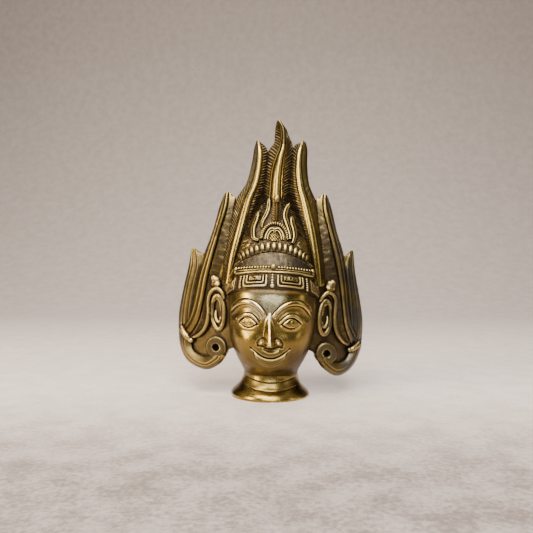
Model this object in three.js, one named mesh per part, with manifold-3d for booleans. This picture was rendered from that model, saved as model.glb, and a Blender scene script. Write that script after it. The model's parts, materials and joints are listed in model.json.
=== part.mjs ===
// Cast brass mask of a Devi with flame hair: a hollow head, open at the back, that stands on its neck.
// Millimetres. +X is the viewer's right, +Y the back, +Z up. The neck's axis is x = 0, y = 0 while building.
import * as THREE from "three";
import { mergeVertices } from "three/addons/utils/BufferGeometryUtils.js";
import Module from "manifold-3d";

const wasm = await Module();
wasm.setup();

// Driving dimensions
const tipHeight = 217; // table to the tip of the middle flame
const faceHalfWidth = 33.4; // at the eyes
const foreheadDepth = 40.4; // neck axis to the forehead
const neckRadius = 21.4;
const footRadius = 31;
const neckBore = 17.5; // radius of the hollow in the neck
const headWall = 4.4; // the casting's thickness in the face
const fanThickness = 4; // and in the hair
const fanDepth = 18; // neck axis to the front of the hair on the middle line
const fanCurl = 0.0055; // the hair bends back by this times x squared
const leanStart = 100; // above this height the hair leans back
const leanSlope = 0.155;
const leanEase = 20; // and takes this long to get there
const rollAngle = THREE.MathUtils.degToRad(1.6); // the whole head tips a little to the viewer's right
const browBandLow = 84.6; // lower and upper edge of the jewelled band, at the front
const browBandHigh = 97.6;
const bandDroop = 0.3; // the band falls this much for each millimetre that it runs back
const discRadius = 9.2;
const beadRadius = 1.05;

// Small helpers; a side is 1 for the viewer's right and -1 for the left
const sides = [1, -1];
const mirrored = (make) => sides.map((side) => make(side));
const range = (count) => Array.from({ length: count }, (_, i) => i);
const smooth = (t) => THREE.MathUtils.smoothstep(t, 0, 1);
const vec = (x, y, z) => new THREE.Vector3(x, y, z);

// Value at z of a smooth line through [z, value] stations
function profile(stations) {
  return (z) => {
    const last = stations.length - 1;
    if (z <= stations[0][0]) return stations[0][1];
    if (z >= stations[last][0]) return stations[last][1];
    const i = stations.findIndex((station) => station[0] > z) - 1;
    const slope = (k) => {
      const low = stations[Math.max(k - 1, 0)];
      const high = stations[Math.min(k + 1, last)];
      return (high[1] - low[1]) / (high[0] - low[0]);
    };
    const [z0, v0] = stations[i];
    const [z1, v1] = stations[i + 1];
    const step = z1 - z0;
    const t = (z - z0) / step;
    const s = 1 - t;
    const bend = t * s * (s * slope(i) - t * slope(i + 1)) * step;
    return v0 + (v1 - v0) * t * t * (3 - 2 * t) + bend;
  };
}

// Points of a smooth curve through [x, z, height] control points
function through(points, steps) {
  const knots = points.map(([x, z, height = 0]) => vec(x, z, height));
  const curve = new THREE.CatmullRomCurve3(knots, false, "catmullrom", 0.5);
  return curve.getPoints(steps).map((p) => [p.x, p.y, p.z]);
}

// Forms that the head and the hair follow
const halfWidth = profile([
  [14, 20], [20, 21.4], [24, 23], [29, 25.6], [35, 28.4], [43, 31.3], [52, 32.9], [62, faceHalfWidth],
  [74, 34.2], [84, 35], [92, 34.4], [100, 31.8], [107, 29.4], [115, 27], [124, 24], [136, 19],
  [148, 12], [156, 6],
]);
const frontDepth = profile([
  [14, 19], [18.5, 21.7], [21.5, 27.5], [24, 32], [28, 36], [33, 37.8], [46, 39.2], [58, 39.6],
  [70, foreheadDepth], [86, foreheadDepth], [94, 39.4], [101, 37.6], [108, 34.4], [115, 30.4], [122, 26.6],
  [132, 22.6], [142, 19], [156, 13],
]);
const widestY = profile([[14, 0], [22, -2], [32, -5], [42, -8], [100, -10], [116, -15], [156, -13]]);
const backReach = profile([[14, 19], [22, 20], [29, 15], [37, 8], [45, 3], [52, 1], [156, 1]]);
const headPower = 2.2; // roundness of the head's cross-sections

function fanY(x, z) {
  const above = Math.max(0, z - leanStart);
  return -fanDepth + fanCurl * x * x + leanSlope * above * above / (above + leanEase);
}

function headY(x, z) {
  const across = Math.min(Math.abs(x) / halfWidth(z), 1);
  const reach = frontDepth(z) + widestY(z);
  return widestY(z) - reach * (1 - across ** headPower) ** (1 / headPower);
}

// A point raised from the front of the hair, from the head, or from whichever stands further forward
const onFan = (x, z, height) => vec(x, fanY(x, z) - height, z);

function raised(surface, x, z, height) {
  const step = 0.5;
  const slopeX = (surface(x + step, z) - surface(x - step, z)) / (2 * step);
  const slopeZ = (surface(x, z + step) - surface(x, z - step)) / (2 * step);
  const normal = vec(slopeX, -1, slopeZ).normalize();
  return vec(x, surface(x, z), z).addScaledVector(normal, height);
}

const onHead = (x, z, height) => raised(headY, x, z, height);
const crownLift = 3.5; // the locks behind the crown's ornament stand about this far out of the hair
const onCrown = (x, z, height) => vec(x, Math.min(headY(x, z), fanY(x, z) - crownLift) - height, z);

// The casting is not quite even: the top sways right, the right side hangs lower, and the head rolls
function lean(point) {
  const topSway = 2.7 * smooth((point.z - 150) / 45);
  const sideSway = -2 * smooth((Math.abs(point.x) - 52) / 16);
  const sideDrop = 0.8 * Math.sign(point.x) * smooth((Math.abs(point.x) - 36) / 18);
  point.x += topSway + sideSway;
  point.z -= sideDrop;
  return point.applyAxisAngle(vec(0, 1, 0), rollAngle);
}

// A closed solid from a geometry, with each point moved to its place in the casting
function solid(geometry, move = lean) {
  geometry.deleteAttribute("normal");
  geometry.deleteAttribute("uv");
  const welded = mergeVertices(geometry);
  const { position } = welded.attributes;
  const vertProperties = new Float32Array(position.count * 3);
  for (let i = 0; i < position.count; i++) {
    move(vec().fromBufferAttribute(position, i)).toArray(vertProperties, i * 3);
  }
  const triVerts = new Uint32Array(welded.index.array);
  if (signedVolume(vertProperties, triVerts) < 0) triVerts.reverse();
  return new wasm.Manifold(new wasm.Mesh({ numProp: 3, vertProperties, triVerts }));
}

function signedVolume(points, triangles) {
  const corner = (k) => vec(...points.slice(3 * k, 3 * k + 3));
  let volume = 0;
  for (let i = 0; i < triangles.length; i += 3) {
    const [a, b, c] = [corner(triangles[i]), corner(triangles[i + 1]), corner(triangles[i + 2])];
    volume += a.dot(b.cross(c)) / 6;
  }
  return volume;
}

// Skin over rings of points; open ends are closed by a fan of triangles
function loft(rings, closed = false) {
  const count = rings[0].length;
  const points = rings.flat();
  const index = [];
  for (let i = 0; i < (closed ? rings.length : rings.length - 1); i++) {
    const next = (i + 1) % rings.length;
    for (let j = 0; j < count; j++) {
      const k = (j + 1) % count;
      const [a, b, c, d] = [i * count + j, i * count + k, next * count + k, next * count + j];
      index.push(a, b, c, a, c, d);
    }
  }
  if (!closed) {
    for (const end of [0, rings.length - 1]) {
      const middle = rings[end].reduce((sum, p) => sum.add(p), vec(0, 0, 0)).divideScalar(count);
      points.push(middle);
      for (let j = 0; j < count; j++) {
        const pair = [end * count + j, end * count + ((j + 1) % count)];
        if (end === 0) pair.reverse();
        index.push(...pair, points.length - 1);
      }
    }
  }
  const geometry = new THREE.BufferGeometry().setFromPoints(points);
  geometry.setIndex(index);
  return solid(geometry);
}

// A lock of hair: rails of [x, z, height] run from tip to root; its back is cut to shape later
function lock(side, rails, steps) {
  const lines = rails.map((rail) => through(rail, steps));
  const ends = [lines.length - 1, 0];
  const rings = range(steps + 1).map((i) => {
    const front = lines.map((line) => onFan(side * line[i][0], line[i][1], line[i][2]));
    const back = ends.map((k) => onFan(side * lines[k][i][0], lines[k][i][1], -2 * fanThickness));
    return [...front, ...back];
  });
  return loft(rings);
}

// A strip that lies on a surface between rails, sunk a little into it
function strip(side, place, rails, steps, sunk = 1) {
  const lines = rails.map((rail) => through(rail, steps));
  const ends = [lines.length - 1, 0];
  const rings = range(steps + 1).map((i) => {
    const top = lines.map((line) => place(side * line[i][0], line[i][1], line[i][2]));
    const below = ends.map((k) => place(side * lines[k][i][0], lines[k][i][1], -sunk));
    return [...top, ...below];
  });
  return loft(rings);
}

// A round cord on a surface along [x, z, height] points, thinner at its ends by the taper
function cord(side, place, points, radius, steps, { faces = 6, taper = 0.5, closed = false } = {}) {
  const line = through(closed ? [...points, points[0]] : points, steps);
  const centres = line.map(([x, z, height]) => place(side * x, z, height));
  if (closed) centres.pop();
  const total = centres.length;
  const rings = centres.map((centre, i) => {
    const before = centres[closed ? (i + total - 1) % total : Math.max(i - 1, 0)];
    const after = centres[closed ? (i + 1) % total : Math.min(i + 1, total - 1)];
    const along = after.clone().sub(before).normalize();
    const across = along.clone().cross(vec(0, -1, 0)).normalize();
    const out = across.clone().cross(along);
    const size = closed ? radius : radius * (1 - taper * (2 * i / (total - 1) - 1) ** 4);
    return range(faces).map((k) => {
      const turn = (2 * Math.PI * k) / faces;
      const offset = across.clone().multiplyScalar(size * Math.cos(turn));
      return centre.clone().add(offset).addScaledVector(out, size * Math.sin(turn));
    });
  });
  return loft(rings, closed);
}

// A small faceted bead
function bead(place, x, z, radius, height = radius * 0.4) {
  const ball = new THREE.OctahedronGeometry(radius * 1.15, 0).rotateX(0.5);
  ball.translate(...place(x, z, height).toArray());
  return solid(ball);
}

// Head: sections from the neck to the top of the crown
const headRows = [14, 19.5, 22, 25, 30, 37, 45, 54, 64, 74, 85, 96, 106, 116, 130, 144, 156];

function headRing(z) {
  const frontSteps = 20;
  const backSteps = 6;
  const power = 2 / headPower;
  const curve = (value) => Math.sign(value) * Math.abs(value) ** power;
  const front = range(frontSteps + 1).map((i) => {
    const turn = Math.PI * (i / frontSteps - 0.5);
    const reach = frontDepth(z) + widestY(z);
    return vec(halfWidth(z) * curve(Math.sin(turn)), widestY(z) - reach * curve(Math.cos(turn)), z);
  });
  const back = range(backSteps - 1).map((i) => {
    const turn = Math.PI * (0.5 - (i + 1) / backSteps);
    return vec(halfWidth(z) * Math.sin(turn), widestY(z) + backReach(z) * Math.cos(turn), z);
  });
  return [...front, ...back];
}

const headShell = () => loft(headRows.map(headRing));

// The hollow inside the face, open to the back, and the hollow of the neck
const hollowHalf = profile([
  [26, 17.5], [30, 20.6], [36, 24.2], [46, 27.4], [62, 29], [84, 30], [96, 27], [104, 23], [111, 16],
  [116, 7],
]);

function faceHollow() {
  const openBack = 45;
  const steps = 8;
  const rings = [26, 30, 38, 48, 64, 84, 96, 105, 112, 116].map((z) => {
    const half = hollowHalf(z);
    const start = widestY(z);
    const reach = frontDepth(z) - headWall + start;
    const front = range(steps + 1).map((i) => {
      const turn = Math.PI * (i / steps - 0.5);
      return vec(half * Math.sin(turn), start - reach * Math.cos(turn), z);
    });
    return [...front, vec(half, openBack, z), vec(-half, openBack, z)];
  });
  return loft(rings);
}

// A round solid on the neck's axis from [radius, z] points
function turned(outline, segments) {
  const points = [...outline, outline[0]].map(([radius, z]) => new THREE.Vector2(radius, z));
  return solid(new THREE.LatheGeometry(points, segments).rotateX(Math.PI / 2));
}

// The neck has a flared foot and two fine mouldings
function neckAndFoot() {
  return turned([
    [0, -2], [footRadius, -2], [footRadius, 1.6], [28.6, 5], [26.7, 6.6], [25.9, 7.2], [25.8, 7.8],
    [23.3, 11], [22.5, 12.6], [22.1, 13.3], [22, 14], [neckRadius, 18], [21, 31], [0, 31],
  ], 24);
}

// Hollow of the neck, wider in the foot, so that the mask stands on a ring
function neckHollow() {
  return turned([[0, -4], [27.5, -4], [26.5, 0], [20.5, 6], [neckBore, 12], [neckBore, 31], [0, 31]], 22);
}

// A slab wider than the mask under the table's level, so that the foot is cut flat
function belowTable() {
  const slab = new THREE.BoxGeometry(tipHeight, tipHeight, footRadius);
  return solid(slab.translate(0, 0, -footRadius / 2), (point) => point);
}

// Nose: rows of [z, half width at the cheek, height, half width of the flat ridge]
function nose() {
  const rows = [
    [63, 1.6, 0.2, 0.5], [59, 2.2, 2, 0.8], [53, 3.2, 4.8, 0.9], [47, 4.8, 7.6, 1],
    [43.6, 5.6, 9.2, 1.2], [42, 5, 8, 1], [41, 4, 3, 0.8],
  ];
  return loft(rows.map(([z, base, height, ridge]) => [
    onHead(-base, z, -1), onHead(-base * 0.75, z, height * 0.35), onHead(-ridge, z, height),
    onHead(ridge, z, height), onHead(base * 0.75, z, height * 0.35), onHead(base, z, -1),
  ]));
}

const nostril = (side) => bead(onHead, side * 6, 45, 2.7, 1.2);

// The eyeball's almond: rows across it, from the inner to the outer corner
function eye(side) {
  const low = [[8.6, 58.8], [11.5, 56.7], [15, 55.7], [19, 56.6], [22.5, 59.5]];
  const high = [[8.6, 59], [12, 62.2], [16.7, 63.9], [20.2, 62.7], [22.5, 59.8]];
  const middle = low.map(([x, z], i) => [(x + high[i][0]) / 2, (z + high[i][1]) / 2, i % 4 ? 1.9 : 0.6]);
  return strip(side, onHead, [low, middle, high], 6);
}

// A cord over each eye
const upperLid = (side) => cord(side, onHead, [
  [7.6, 59.9, 0.2], [11.5, 64.1, 0.4], [16.8, 65.7, 0.5], [21, 64.4, 0.4], [24, 61.6, 0.2],
], 1.1, 6, { faces: 4 });

// A brow is a raised almond between its two edges
function brow(side) {
  const low = [[3.4, 63.3], [9.5, 69.6], [17.5, 72.3], [25.2, 69.8], [29.6, 64.6]];
  const high = [[2, 64.4], [8.4, 72.6], [17.6, 76.4], [26, 73.4], [29.8, 67.4]];
  const middle = low.map(([x, z], i) => [(x + high[i][0]) / 2, (z + high[i][1]) / 2, 1.2]);
  return strip(side, onHead, [low, middle, high], 7);
}

// Lips are strips from corner to corner; the corners rise in a smile
function lips() {
  const seam = [[-13.4, 40.6], [-8, 35.6], [0, 33.6], [8, 35.6], [13.4, 40.6]];
  const upperEdge = [[-13.2, 41.4], [-7.4, 39.4], [0, 38.6], [7.4, 39.4], [13.2, 41.4]];
  const lowerEdge = [[-12.6, 39.6], [-8.2, 31], [0, 27.6], [8.2, 31], [12.6, 39.6]];
  const between = (a, b, height) => a.map(([x, z], i) => {
    return [(x + b[i][0]) / 2, (z + b[i][1]) / 2, i % 4 ? height : 0.4];
  });
  return [
    strip(1, onHead, [seam, between(seam, upperEdge, 2.8), upperEdge], 8),
    strip(1, onHead, [lowerEdge, between(seam, lowerEdge, 2.8), seam], 8),
  ];
}

// Jewelled band round the forehead, and what is set on it
function bandPoint(turn, up, height) {
  const z0 = browBandLow + up * (browBandHigh - browBandLow);
  const power = 2 / headPower;
  const x = halfWidth(z0) * Math.sign(turn) * Math.sin(Math.abs(turn)) ** power;
  const y = widestY(z0) - (frontDepth(z0) + widestY(z0)) * Math.cos(turn) ** power;
  const drop = bandDroop * (y + frontDepth(z0));
  const outward = vec(Math.sin(turn), -Math.cos(turn), 0.12).normalize();
  return vec(x, y, z0 - drop).addScaledVector(outward, height);
}

function band() {
  const reach = THREE.MathUtils.degToRad(76);
  const steps = 18;
  const section = [[0, -1.5], [0, 1.6], [0.82, 1.6], [0.86, 2.6], [0.98, 2.6], [1, -1.5]];
  return loft(range(steps + 1).map((i) => {
    const turn = reach * (2 * i / steps - 1);
    return section.map(([up, height]) => bandPoint(turn, up, height));
  }));
}

// U-shaped jewel frame, centred at an angle on the band, as a bar bent twice
function jewelFrame(turn, half, low, high) {
  const bar = 0.036;
  const path = [[-half, high], [-half, low], [half, low], [half, high]];
  const corners = path.map(([across, up], i) => {
    const inX = across < 0 ? 1 : -1;
    const raise = i === 1 || i === 2 ? 0.09 : 0;
    return { out: [turn + across, up], inn: [turn + across + inX * bar, up + raise] };
  });
  return loft(corners.map(({ out, inn }) => [
    bandPoint(...out, 0.8), bandPoint(...out, 2.5), bandPoint(...inn, 2.5), bandPoint(...inn, 0.8),
  ]));
}

function jewels() {
  const frames = [[0.365, 0.25], [0.93, 0.16]];
  return frames.flatMap(([turn, half]) => sides.flatMap((side) => [
    jewelFrame(side * turn, half, 0.08, 0.8),
    bead(bandPoint, side * turn, 0.55, half * 8, 1.8),
  ]));
}

const pendant = () => range(4).map((i) => bead(bandPoint, 0, 0.1 + 0.21 * i, i === 0 ? 1.5 : 1.1, 1.5));

// The row of small beads above the band, as one cord with a larger bead at its middle and ends
function beadRow() {
  const reach = 28.2;
  const line = (x) => 100.6 - 0.0028 * x * x;
  const row = cord(1, onHead, range(7).map((i) => {
    const x = reach * (i / 3 - 1);
    return [x, line(x), 0.3];
  }), beadRadius, 12, { faces: 4, taper: 0 });
  const ends = mirrored((side) => bead(onHead, side * reach, line(reach), 1.8, 0.8));
  return [row, ...ends, bead(onHead, 0.4, line(0), 2.1, 1.2)];
}

// Raised edge of the cap, and the row of petals that stands above it
const capEdge = (x) => 112.4 - 0.0128 * x * x;

const capLine = () => cord(1, onHead, range(9).map((i) => {
  const x = 29 * (i / 4 - 1);
  return [x, capEdge(x), 0.3];
}), 1.2, 12, { faces: 4, taper: 0.3 });

// The petals are one comb, high at each petal and low in each gap, that fans out to its sides
function petals() {
  const count = 15;
  const halfSpan = 25;
  const spread = 1.12;
  return loft(range(2 * count + 1).map((i) => {
    const share = i / count - 1;
    const petal = i % 2 === 1;
    const x = halfSpan * Math.sin(share * spread) / Math.sin(spread);
    const foot = capEdge(x) + 0.9;
    const top = foot + (petal ? 6.2 : 4.8);
    const tilt = 2 * share;
    return [
      onCrown(x, foot, -2), onCrown(x, foot, petal ? 2.6 : 0.6),
      onCrown(x + tilt, top, petal ? 3 : 0.8), onCrown(x + tilt, top, -2),
    ];
  }));
}

// Arch, bud and curling flames on the front of the crown
function arch(radius, rise, thick, height, dip = 0) {
  const [x, z] = [0.6, 121.6];
  const points = range(7).map((i) => {
    const turn = Math.PI * (1 - i / 6);
    const sink = i === 3 ? dip : 0;
    return [x + radius * Math.cos(turn), z + rise * Math.sin(turn) - sink, height];
  });
  return cord(1, onCrown, points, thick, 9, { faces: 5, taper: 0 });
}

// A ribbon that tapers to its ends, deep enough to reach the hair behind it
function curl(side, spine) {
  const half = 1.3;
  const edge = (shift) => spine.map(([x, z], i) => {
    const ahead = spine[Math.min(i + 1, spine.length - 1)];
    const behind = spine[Math.max(i - 1, 0)];
    const length = Math.hypot(ahead[0] - behind[0], ahead[1] - behind[1]);
    const size = i === 0 || i === spine.length - 1 ? 0.5 * shift : shift;
    return [x + size * (ahead[1] - behind[1]) / length, z - size * (ahead[0] - behind[0]) / length, 0.4];
  });
  const ridge = spine.map(([x, z]) => [x, z, 1.8]);
  return strip(side, onCrown, [edge(-half), ridge, edge(half)], 5, 5);
}

function crownOrnament() {
  const core = strip(1, onCrown, [
    [[-4.6, 121], [-4.2, 126], [-1, 129.4]],
    [[0.6, 120.6, 2.6], [0.6, 125, 3.4], [0.6, 129, 2.6]],
    [[5.8, 121], [5.4, 126], [2.2, 129.4]],
  ], 4, 2);
  const outerCurl = [[12.4, 121.5], [17, 126], [17.9, 131.5], [15.6, 137], [14, 142.6]];
  const innerCurl = [[11.6, 132], [9, 139], [6.4, 143.5], [5.6, 148], [6.8, 152.6]];
  const curls = sides.flatMap((side) => [curl(side, outerCurl), curl(side, innerCurl)]);
  const stem = curl(1, [[0.8, 134], [0.8, 144], [0.8, 153]]);
  const bud = bead(onCrown, 0.8, 154.5, 1.9, 1.2);
  return [core, ...curls, stem, bud, arch(10.8, 13, 1.6, 0.8), arch(7, 9.4, 1.2, 1, 1.4)];
}

// Hair: each flame is a lock with rails from its tip down
const middleFlame = () => lock(1, [
  [[-1.4, tipHeight - 0.8], [-3.7, 207], [-6, 199], [-10.6, 186], [-11, 170], [-12, 150], [-20, 108]],
  [[-1.2, tipHeight - 0.5, 1.2], [-0.8, 208, 3.4], [-0.6, 200, 4.2], [-4.2, 186, 4.8], [-4.4, 170, 5],
    [-4, 146, 4], [-6, 108, 3]],
  [[-1, tipHeight - 0.2, 1.4], [0.6, 208, 4.2], [1.5, 200, 5.2], [-0.2, 186, 5.8], [0.6, 170, 6],
    [1.2, 146, 4.6], [1, 108, 3]],
  [[-0.8, tipHeight - 0.5, 1.2], [2.4, 208, 3.4], [3.6, 200, 4.2], [3.4, 186, 4.8], [4.8, 170, 5],
    [5.8, 146, 4], [8, 108, 3]],
  [[-0.6, tipHeight - 0.8], [5.2, 208.5], [9, 200], [10.8, 187], [11, 170], [12.4, 150], [21, 108]],
], 10);

const flankFlame = (side) => lock(side, [
  [[18.3, 200.2], [20.4, 193], [21.8, 181], [25.6, 166], [32.6, 152], [36.4, 130], [39.6, 108], [41.6, 88]],
  [[18.1, 200.4, 1], [17.6, 192, 3.6], [17.3, 180, 4.6], [20.2, 165, 5.2], [24.4, 149, 5.6], [30.6, 128, 6],
    [34.8, 107, 6], [37.4, 88, 5]],
  [[17.9, 200.4, 1], [15, 191, 3.6], [14.4, 179, 4.6], [17, 164, 5.2], [20.8, 147, 5.6], [26.4, 126, 6],
    [31, 106, 6], [34.2, 88, 5]],
  [[17.5, 200], [10.4, 193.5], [8, 180], [8.2, 164], [9, 147], [13, 126], [20, 106], [28, 88]],
], 12);

const sideFlame = (side) => lock(side, [
  [[39.4, 158.8], [43.4, 146.5], [48.8, 129], [55.4, 111], [60.4, 92], [63.6, 74], [65, 60], [70, 49]],
  [[39.2, 159, 1], [42, 145, 3.4], [46.6, 127, 4.4], [51.8, 107, 5], [55.6, 90, 5.2],
    [58.4, 72, 4.8], [60, 59, 4.2], [67, 46.5, 3]],
  [[38.9, 159, 1], [40, 144, 2.6], [43.6, 126, 3.2], [48, 106, 3.6], [51.8, 89, 3.6],
    [53.6, 71, 3.4], [56, 57, 3], [65, 43.5, 2.4]],
  [[38.7, 159, 1], [38.4, 143, 3], [41.4, 125, 4], [45.4, 105, 4.6], [48.4, 88, 4.8],
    [50, 70, 4.4], [52, 54, 4], [62.6, 40.6, 3]],
  [[38.4, 158.6], [31.4, 151], [34, 126], [37.2, 105], [41.4, 88], [46.6, 70], [48.4, 51], [60, 37.6]],
], 13);

const outerFlame = (side) => lock(side, [
  [[63.4, 115.2], [66.9, 99], [71.4, 81], [74.8, 63], [75.3, 51], [74.4, 41]],
  [[63.1, 115.4, 0.8], [64.8, 99, 2.8], [68.6, 81, 3.4], [71.6, 63, 3.6], [72, 51, 3.4], [70.6, 41, 2.4]],
  [[62.8, 115.2, 0.6], [62.4, 99, 1.8], [65.8, 81, 2.2], [68.4, 63, 2.4], [68.6, 51, 2.2], [66.6, 41, 1.8]],
  [[62.5, 115, 0.8], [60.2, 99, 2.6], [63, 81, 3.2], [65.2, 63, 3.2], [65.4, 51, 3], [63, 41, 2.2]],
  [[61.8, 114], [55.4, 100], [58.6, 81], [61, 63], [61.4, 51], [59, 41]],
], 10);

// The roll that the side hair ends in: it wraps under the ear disc and stops at a slanting cut
const hairRoll = (side) => lock(side, [
  [[75.4, 47], [73.6, 35], [66, 22.2], [52, 17.2], [40.4, 23.2], [34.6, 31]],
  [[73, 45.4, 4.4], [71.4, 35.4, 4.6], [64.4, 24.2, 5], [52.2, 19.6, 5], [42, 25, 4.2], [37, 31.4, 2.6]],
  [[69, 42, 5.6], [67, 34.6, 6], [61.4, 27, 6.4], [52.4, 23.6, 6.4], [45, 28, 5.4], [41, 33, 3]],
  [[64.6, 38.2, 2.4], [62.4, 33.2, 2.6], [58.4, 29.6, 2.6], [52.6, 28.2, 2.6], [48.4, 30.6, 2.4],
    [45, 35, 2]],
], 11);

// Thin plate that joins the side locks behind the ears
function sidePlate(side) {
  const rows = [
    [18.6, 50, 56.5], [22, 44.2, 64.6], [28, 37.4, 70.2], [36, 32.4, 73], [37.5, 27, 73.2],
    [54, 27, 74.2], [76, 27, 71.4], [96, 27, 66], [105, 27, 58],
  ];
  const across = 3;
  return loft(rows.map(([z, inner, outer]) => {
    const xs = range(across + 1).map((i) => side * (inner + (outer - inner) * i / across));
    const front = xs.map((x) => onFan(x, z, -0.4));
    return [...front, onFan(xs[across], z, -2 * fanThickness), onFan(xs[0], z, -2 * fanThickness)];
  }));
}

// Everything behind the hair's smooth back
function behindHair() {
  const across = 12;
  const reach = 84;
  const far = 70;
  return loft([10, leanStart, leanStart + 20, leanStart + 50, tipHeight + 10].map((z) => {
    const xs = range(across + 1).map((i) => reach * (2 * i / across - 1));
    return [...xs.map((x) => onFan(x, z, -fanThickness)), vec(reach, far, z), vec(-reach, far, z)];
  }));
}

function hair() {
  const locks = [flankFlame, sideFlame, outerFlame, hairRoll, sidePlate].flatMap(mirrored);
  return [middleFlame(), ...locks].reduce((sum, piece) => sum.add(piece)).subtract(behindHair());
}

// Ear: a long loop, with a round disc that hangs under it
function earLoop(side) {
  const [x, z] = [41.2, 62.8];
  const [halfAcross, halfHigh] = [3.5, 13];
  const knots = 10;
  return cord(side, onFan, range(knots).map((i) => {
    const turn = (2 * Math.PI * i) / knots;
    const up = halfHigh * Math.sin(turn);
    return [x + halfAcross * Math.cos(turn) + 0.06 * up, z + up, 1.4];
  }), 2.2, 14, { faces: 4, closed: true });
}

function earDisc(side) {
  const x = 43.4;
  const z = 36;
  const turnOut = THREE.MathUtils.degToRad(12);
  const section = [[2.3, -3], [2.3, 4.2], [3.8, 5], [discRadius, 3.8], [discRadius, -3], [2.3, -3]];
  const points = section.map(([radius, forward]) => new THREE.Vector2(radius, forward));
  const disc = new THREE.LatheGeometry(points, 14);
  return solid(disc.rotateX(Math.PI).rotateZ(side * turnOut).translate(side * x, fanY(x, z), z));
}

const earTopKnot = (side) => bead(onFan, side * 45.4, 86, 3.2, 3);

// The whole casting: join everything, hollow it, and cut the foot flat
function casting() {
  const pieces = [
    headShell(), neckAndFoot(), nose(), ...lips(), band(), ...jewels(), ...pendant(), ...beadRow(),
    capLine(), petals(), ...crownOrnament(),
    ...[nostril, eye, upperLid, brow, earLoop, earDisc, earTopKnot].flatMap(mirrored),
  ];
  const whole = pieces.reduce((sum, piece) => sum.add(piece), hair());
  const hollow = largest(whole).subtract(faceHollow()).subtract(neckHollow()).subtract(belowTable());
  return largest(hollow);
}

// Only the casting itself: the small voids that overlapping forms shut in are filled
function largest(manifold) {
  return manifold.decompose().reduce((best, part) => (part.volume() > best.volume() ? part : best));
}

function toGeometry(manifold) {
  const mesh = manifold.getMesh();
  const geometry = new THREE.BufferGeometry();
  geometry.setAttribute("position", new THREE.BufferAttribute(mesh.vertProperties, 3));
  geometry.setIndex(new THREE.BufferAttribute(mesh.triVerts, 1));
  geometry.computeBoundingBox();
  const { min, max } = geometry.boundingBox;
  geometry.translate(-(min.x + max.x) / 2, -(min.y + max.y) / 2, -min.z);
  geometry.computeVertexNormals();
  return geometry;
}

const brass = new THREE.MeshStandardMaterial({ color: 0xa8863f, roughness: 0.35, metalness: 1 });
const mask = new THREE.Mesh(toGeometry(casting()), brass);
mask.name = "mask";

const model = new THREE.Group();
model.add(mask);
export default model;
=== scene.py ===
# Devi mask in cast brass: the visual model, its floor, light and camera.
# Shapes are worked out in millimetres round the neck's axis, then placed in the model's frame in metres.
# +X is the viewer's right, +Y the back, +Z up. A side is 1 for the viewer's right and -1 for the left.
import json
import math
import bpy
import numpy as np
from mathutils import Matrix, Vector
from mathutils.bvhtree import BVHTree

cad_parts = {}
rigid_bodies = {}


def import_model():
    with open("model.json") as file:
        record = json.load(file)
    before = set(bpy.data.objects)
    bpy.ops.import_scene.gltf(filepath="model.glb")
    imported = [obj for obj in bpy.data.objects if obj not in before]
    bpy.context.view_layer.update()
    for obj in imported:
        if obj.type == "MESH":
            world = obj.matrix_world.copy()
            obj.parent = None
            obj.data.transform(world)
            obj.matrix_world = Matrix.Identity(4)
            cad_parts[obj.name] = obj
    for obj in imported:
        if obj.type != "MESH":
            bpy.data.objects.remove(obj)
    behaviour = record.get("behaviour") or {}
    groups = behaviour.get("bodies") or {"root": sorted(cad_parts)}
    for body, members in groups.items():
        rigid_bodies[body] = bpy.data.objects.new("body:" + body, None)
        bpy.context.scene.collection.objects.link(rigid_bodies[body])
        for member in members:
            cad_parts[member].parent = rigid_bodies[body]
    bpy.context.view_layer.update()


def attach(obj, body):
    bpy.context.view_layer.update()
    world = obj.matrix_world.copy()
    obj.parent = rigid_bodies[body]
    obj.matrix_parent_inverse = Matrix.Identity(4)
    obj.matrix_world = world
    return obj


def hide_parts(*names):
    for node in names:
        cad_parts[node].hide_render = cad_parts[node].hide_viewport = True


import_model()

# Driving dimensions, in millimetres
tip_height = 217
face_half_width = 33.4  # at the eyes
forehead_depth = 40.4  # how far it stands in front of the neck's axis
neck_radius = 21.4
foot_radius = 31
neck_bore = 17.5  # radius of the hollow in the neck
head_wall = 4.4
fan_thickness = 4  # of the hair, which spreads like a fan behind the head
fan_depth = 18  # how far the hair's middle stands in front of the neck's axis
fan_curl = 0.0055  # how strongly the hair curves back toward its sides
lean_start = 100  # height from which the hair leans back
lean_slope = 0.155
lean_ease = 20  # height over which it takes up that slope
roll_angle = math.radians(1.6)
band_low = 84.6
band_high = 97.6
band_droop = 0.3  # drop of the band for each millimetre that it runs back
disc_radius = 9.2
head_power = 2.2  # 2 would make the head's section an ellipse, and more makes it squarer
crown_lift = 3.5  # how far the crown stands in front of the hair, at least
frame_shift = (0.5949, 8.5924, 0)  # from the neck's axis to the centre of the model's box
sides = (1, -1)


# Small helpers
def smooth(t):
    t = np.clip(t, 0, 1)
    return t * t * (3 - 2 * t)


def profile(stations):
    """Smooth curve through [place, value] stations."""
    zs, vs = np.array(stations, float).T
    last = len(zs) - 1
    low = np.maximum(np.arange(last + 1) - 1, 0)
    high = np.minimum(np.arange(last + 1) + 1, last)
    slopes = (vs[high] - vs[low]) / (zs[high] - zs[low])

    def value(z):
        z = np.clip(z, zs[0], zs[-1])
        i = np.clip(np.searchsorted(zs, z, side="right") - 1, 0, last - 1)
        step = zs[i + 1] - zs[i]
        t = (z - zs[i]) / step
        s = 1 - t
        bend = t * s * (s * slopes[i] - t * slopes[i + 1]) * step
        return vs[i] + (vs[i + 1] - vs[i]) * t * t * (3 - 2 * t) + bend

    return value


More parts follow.
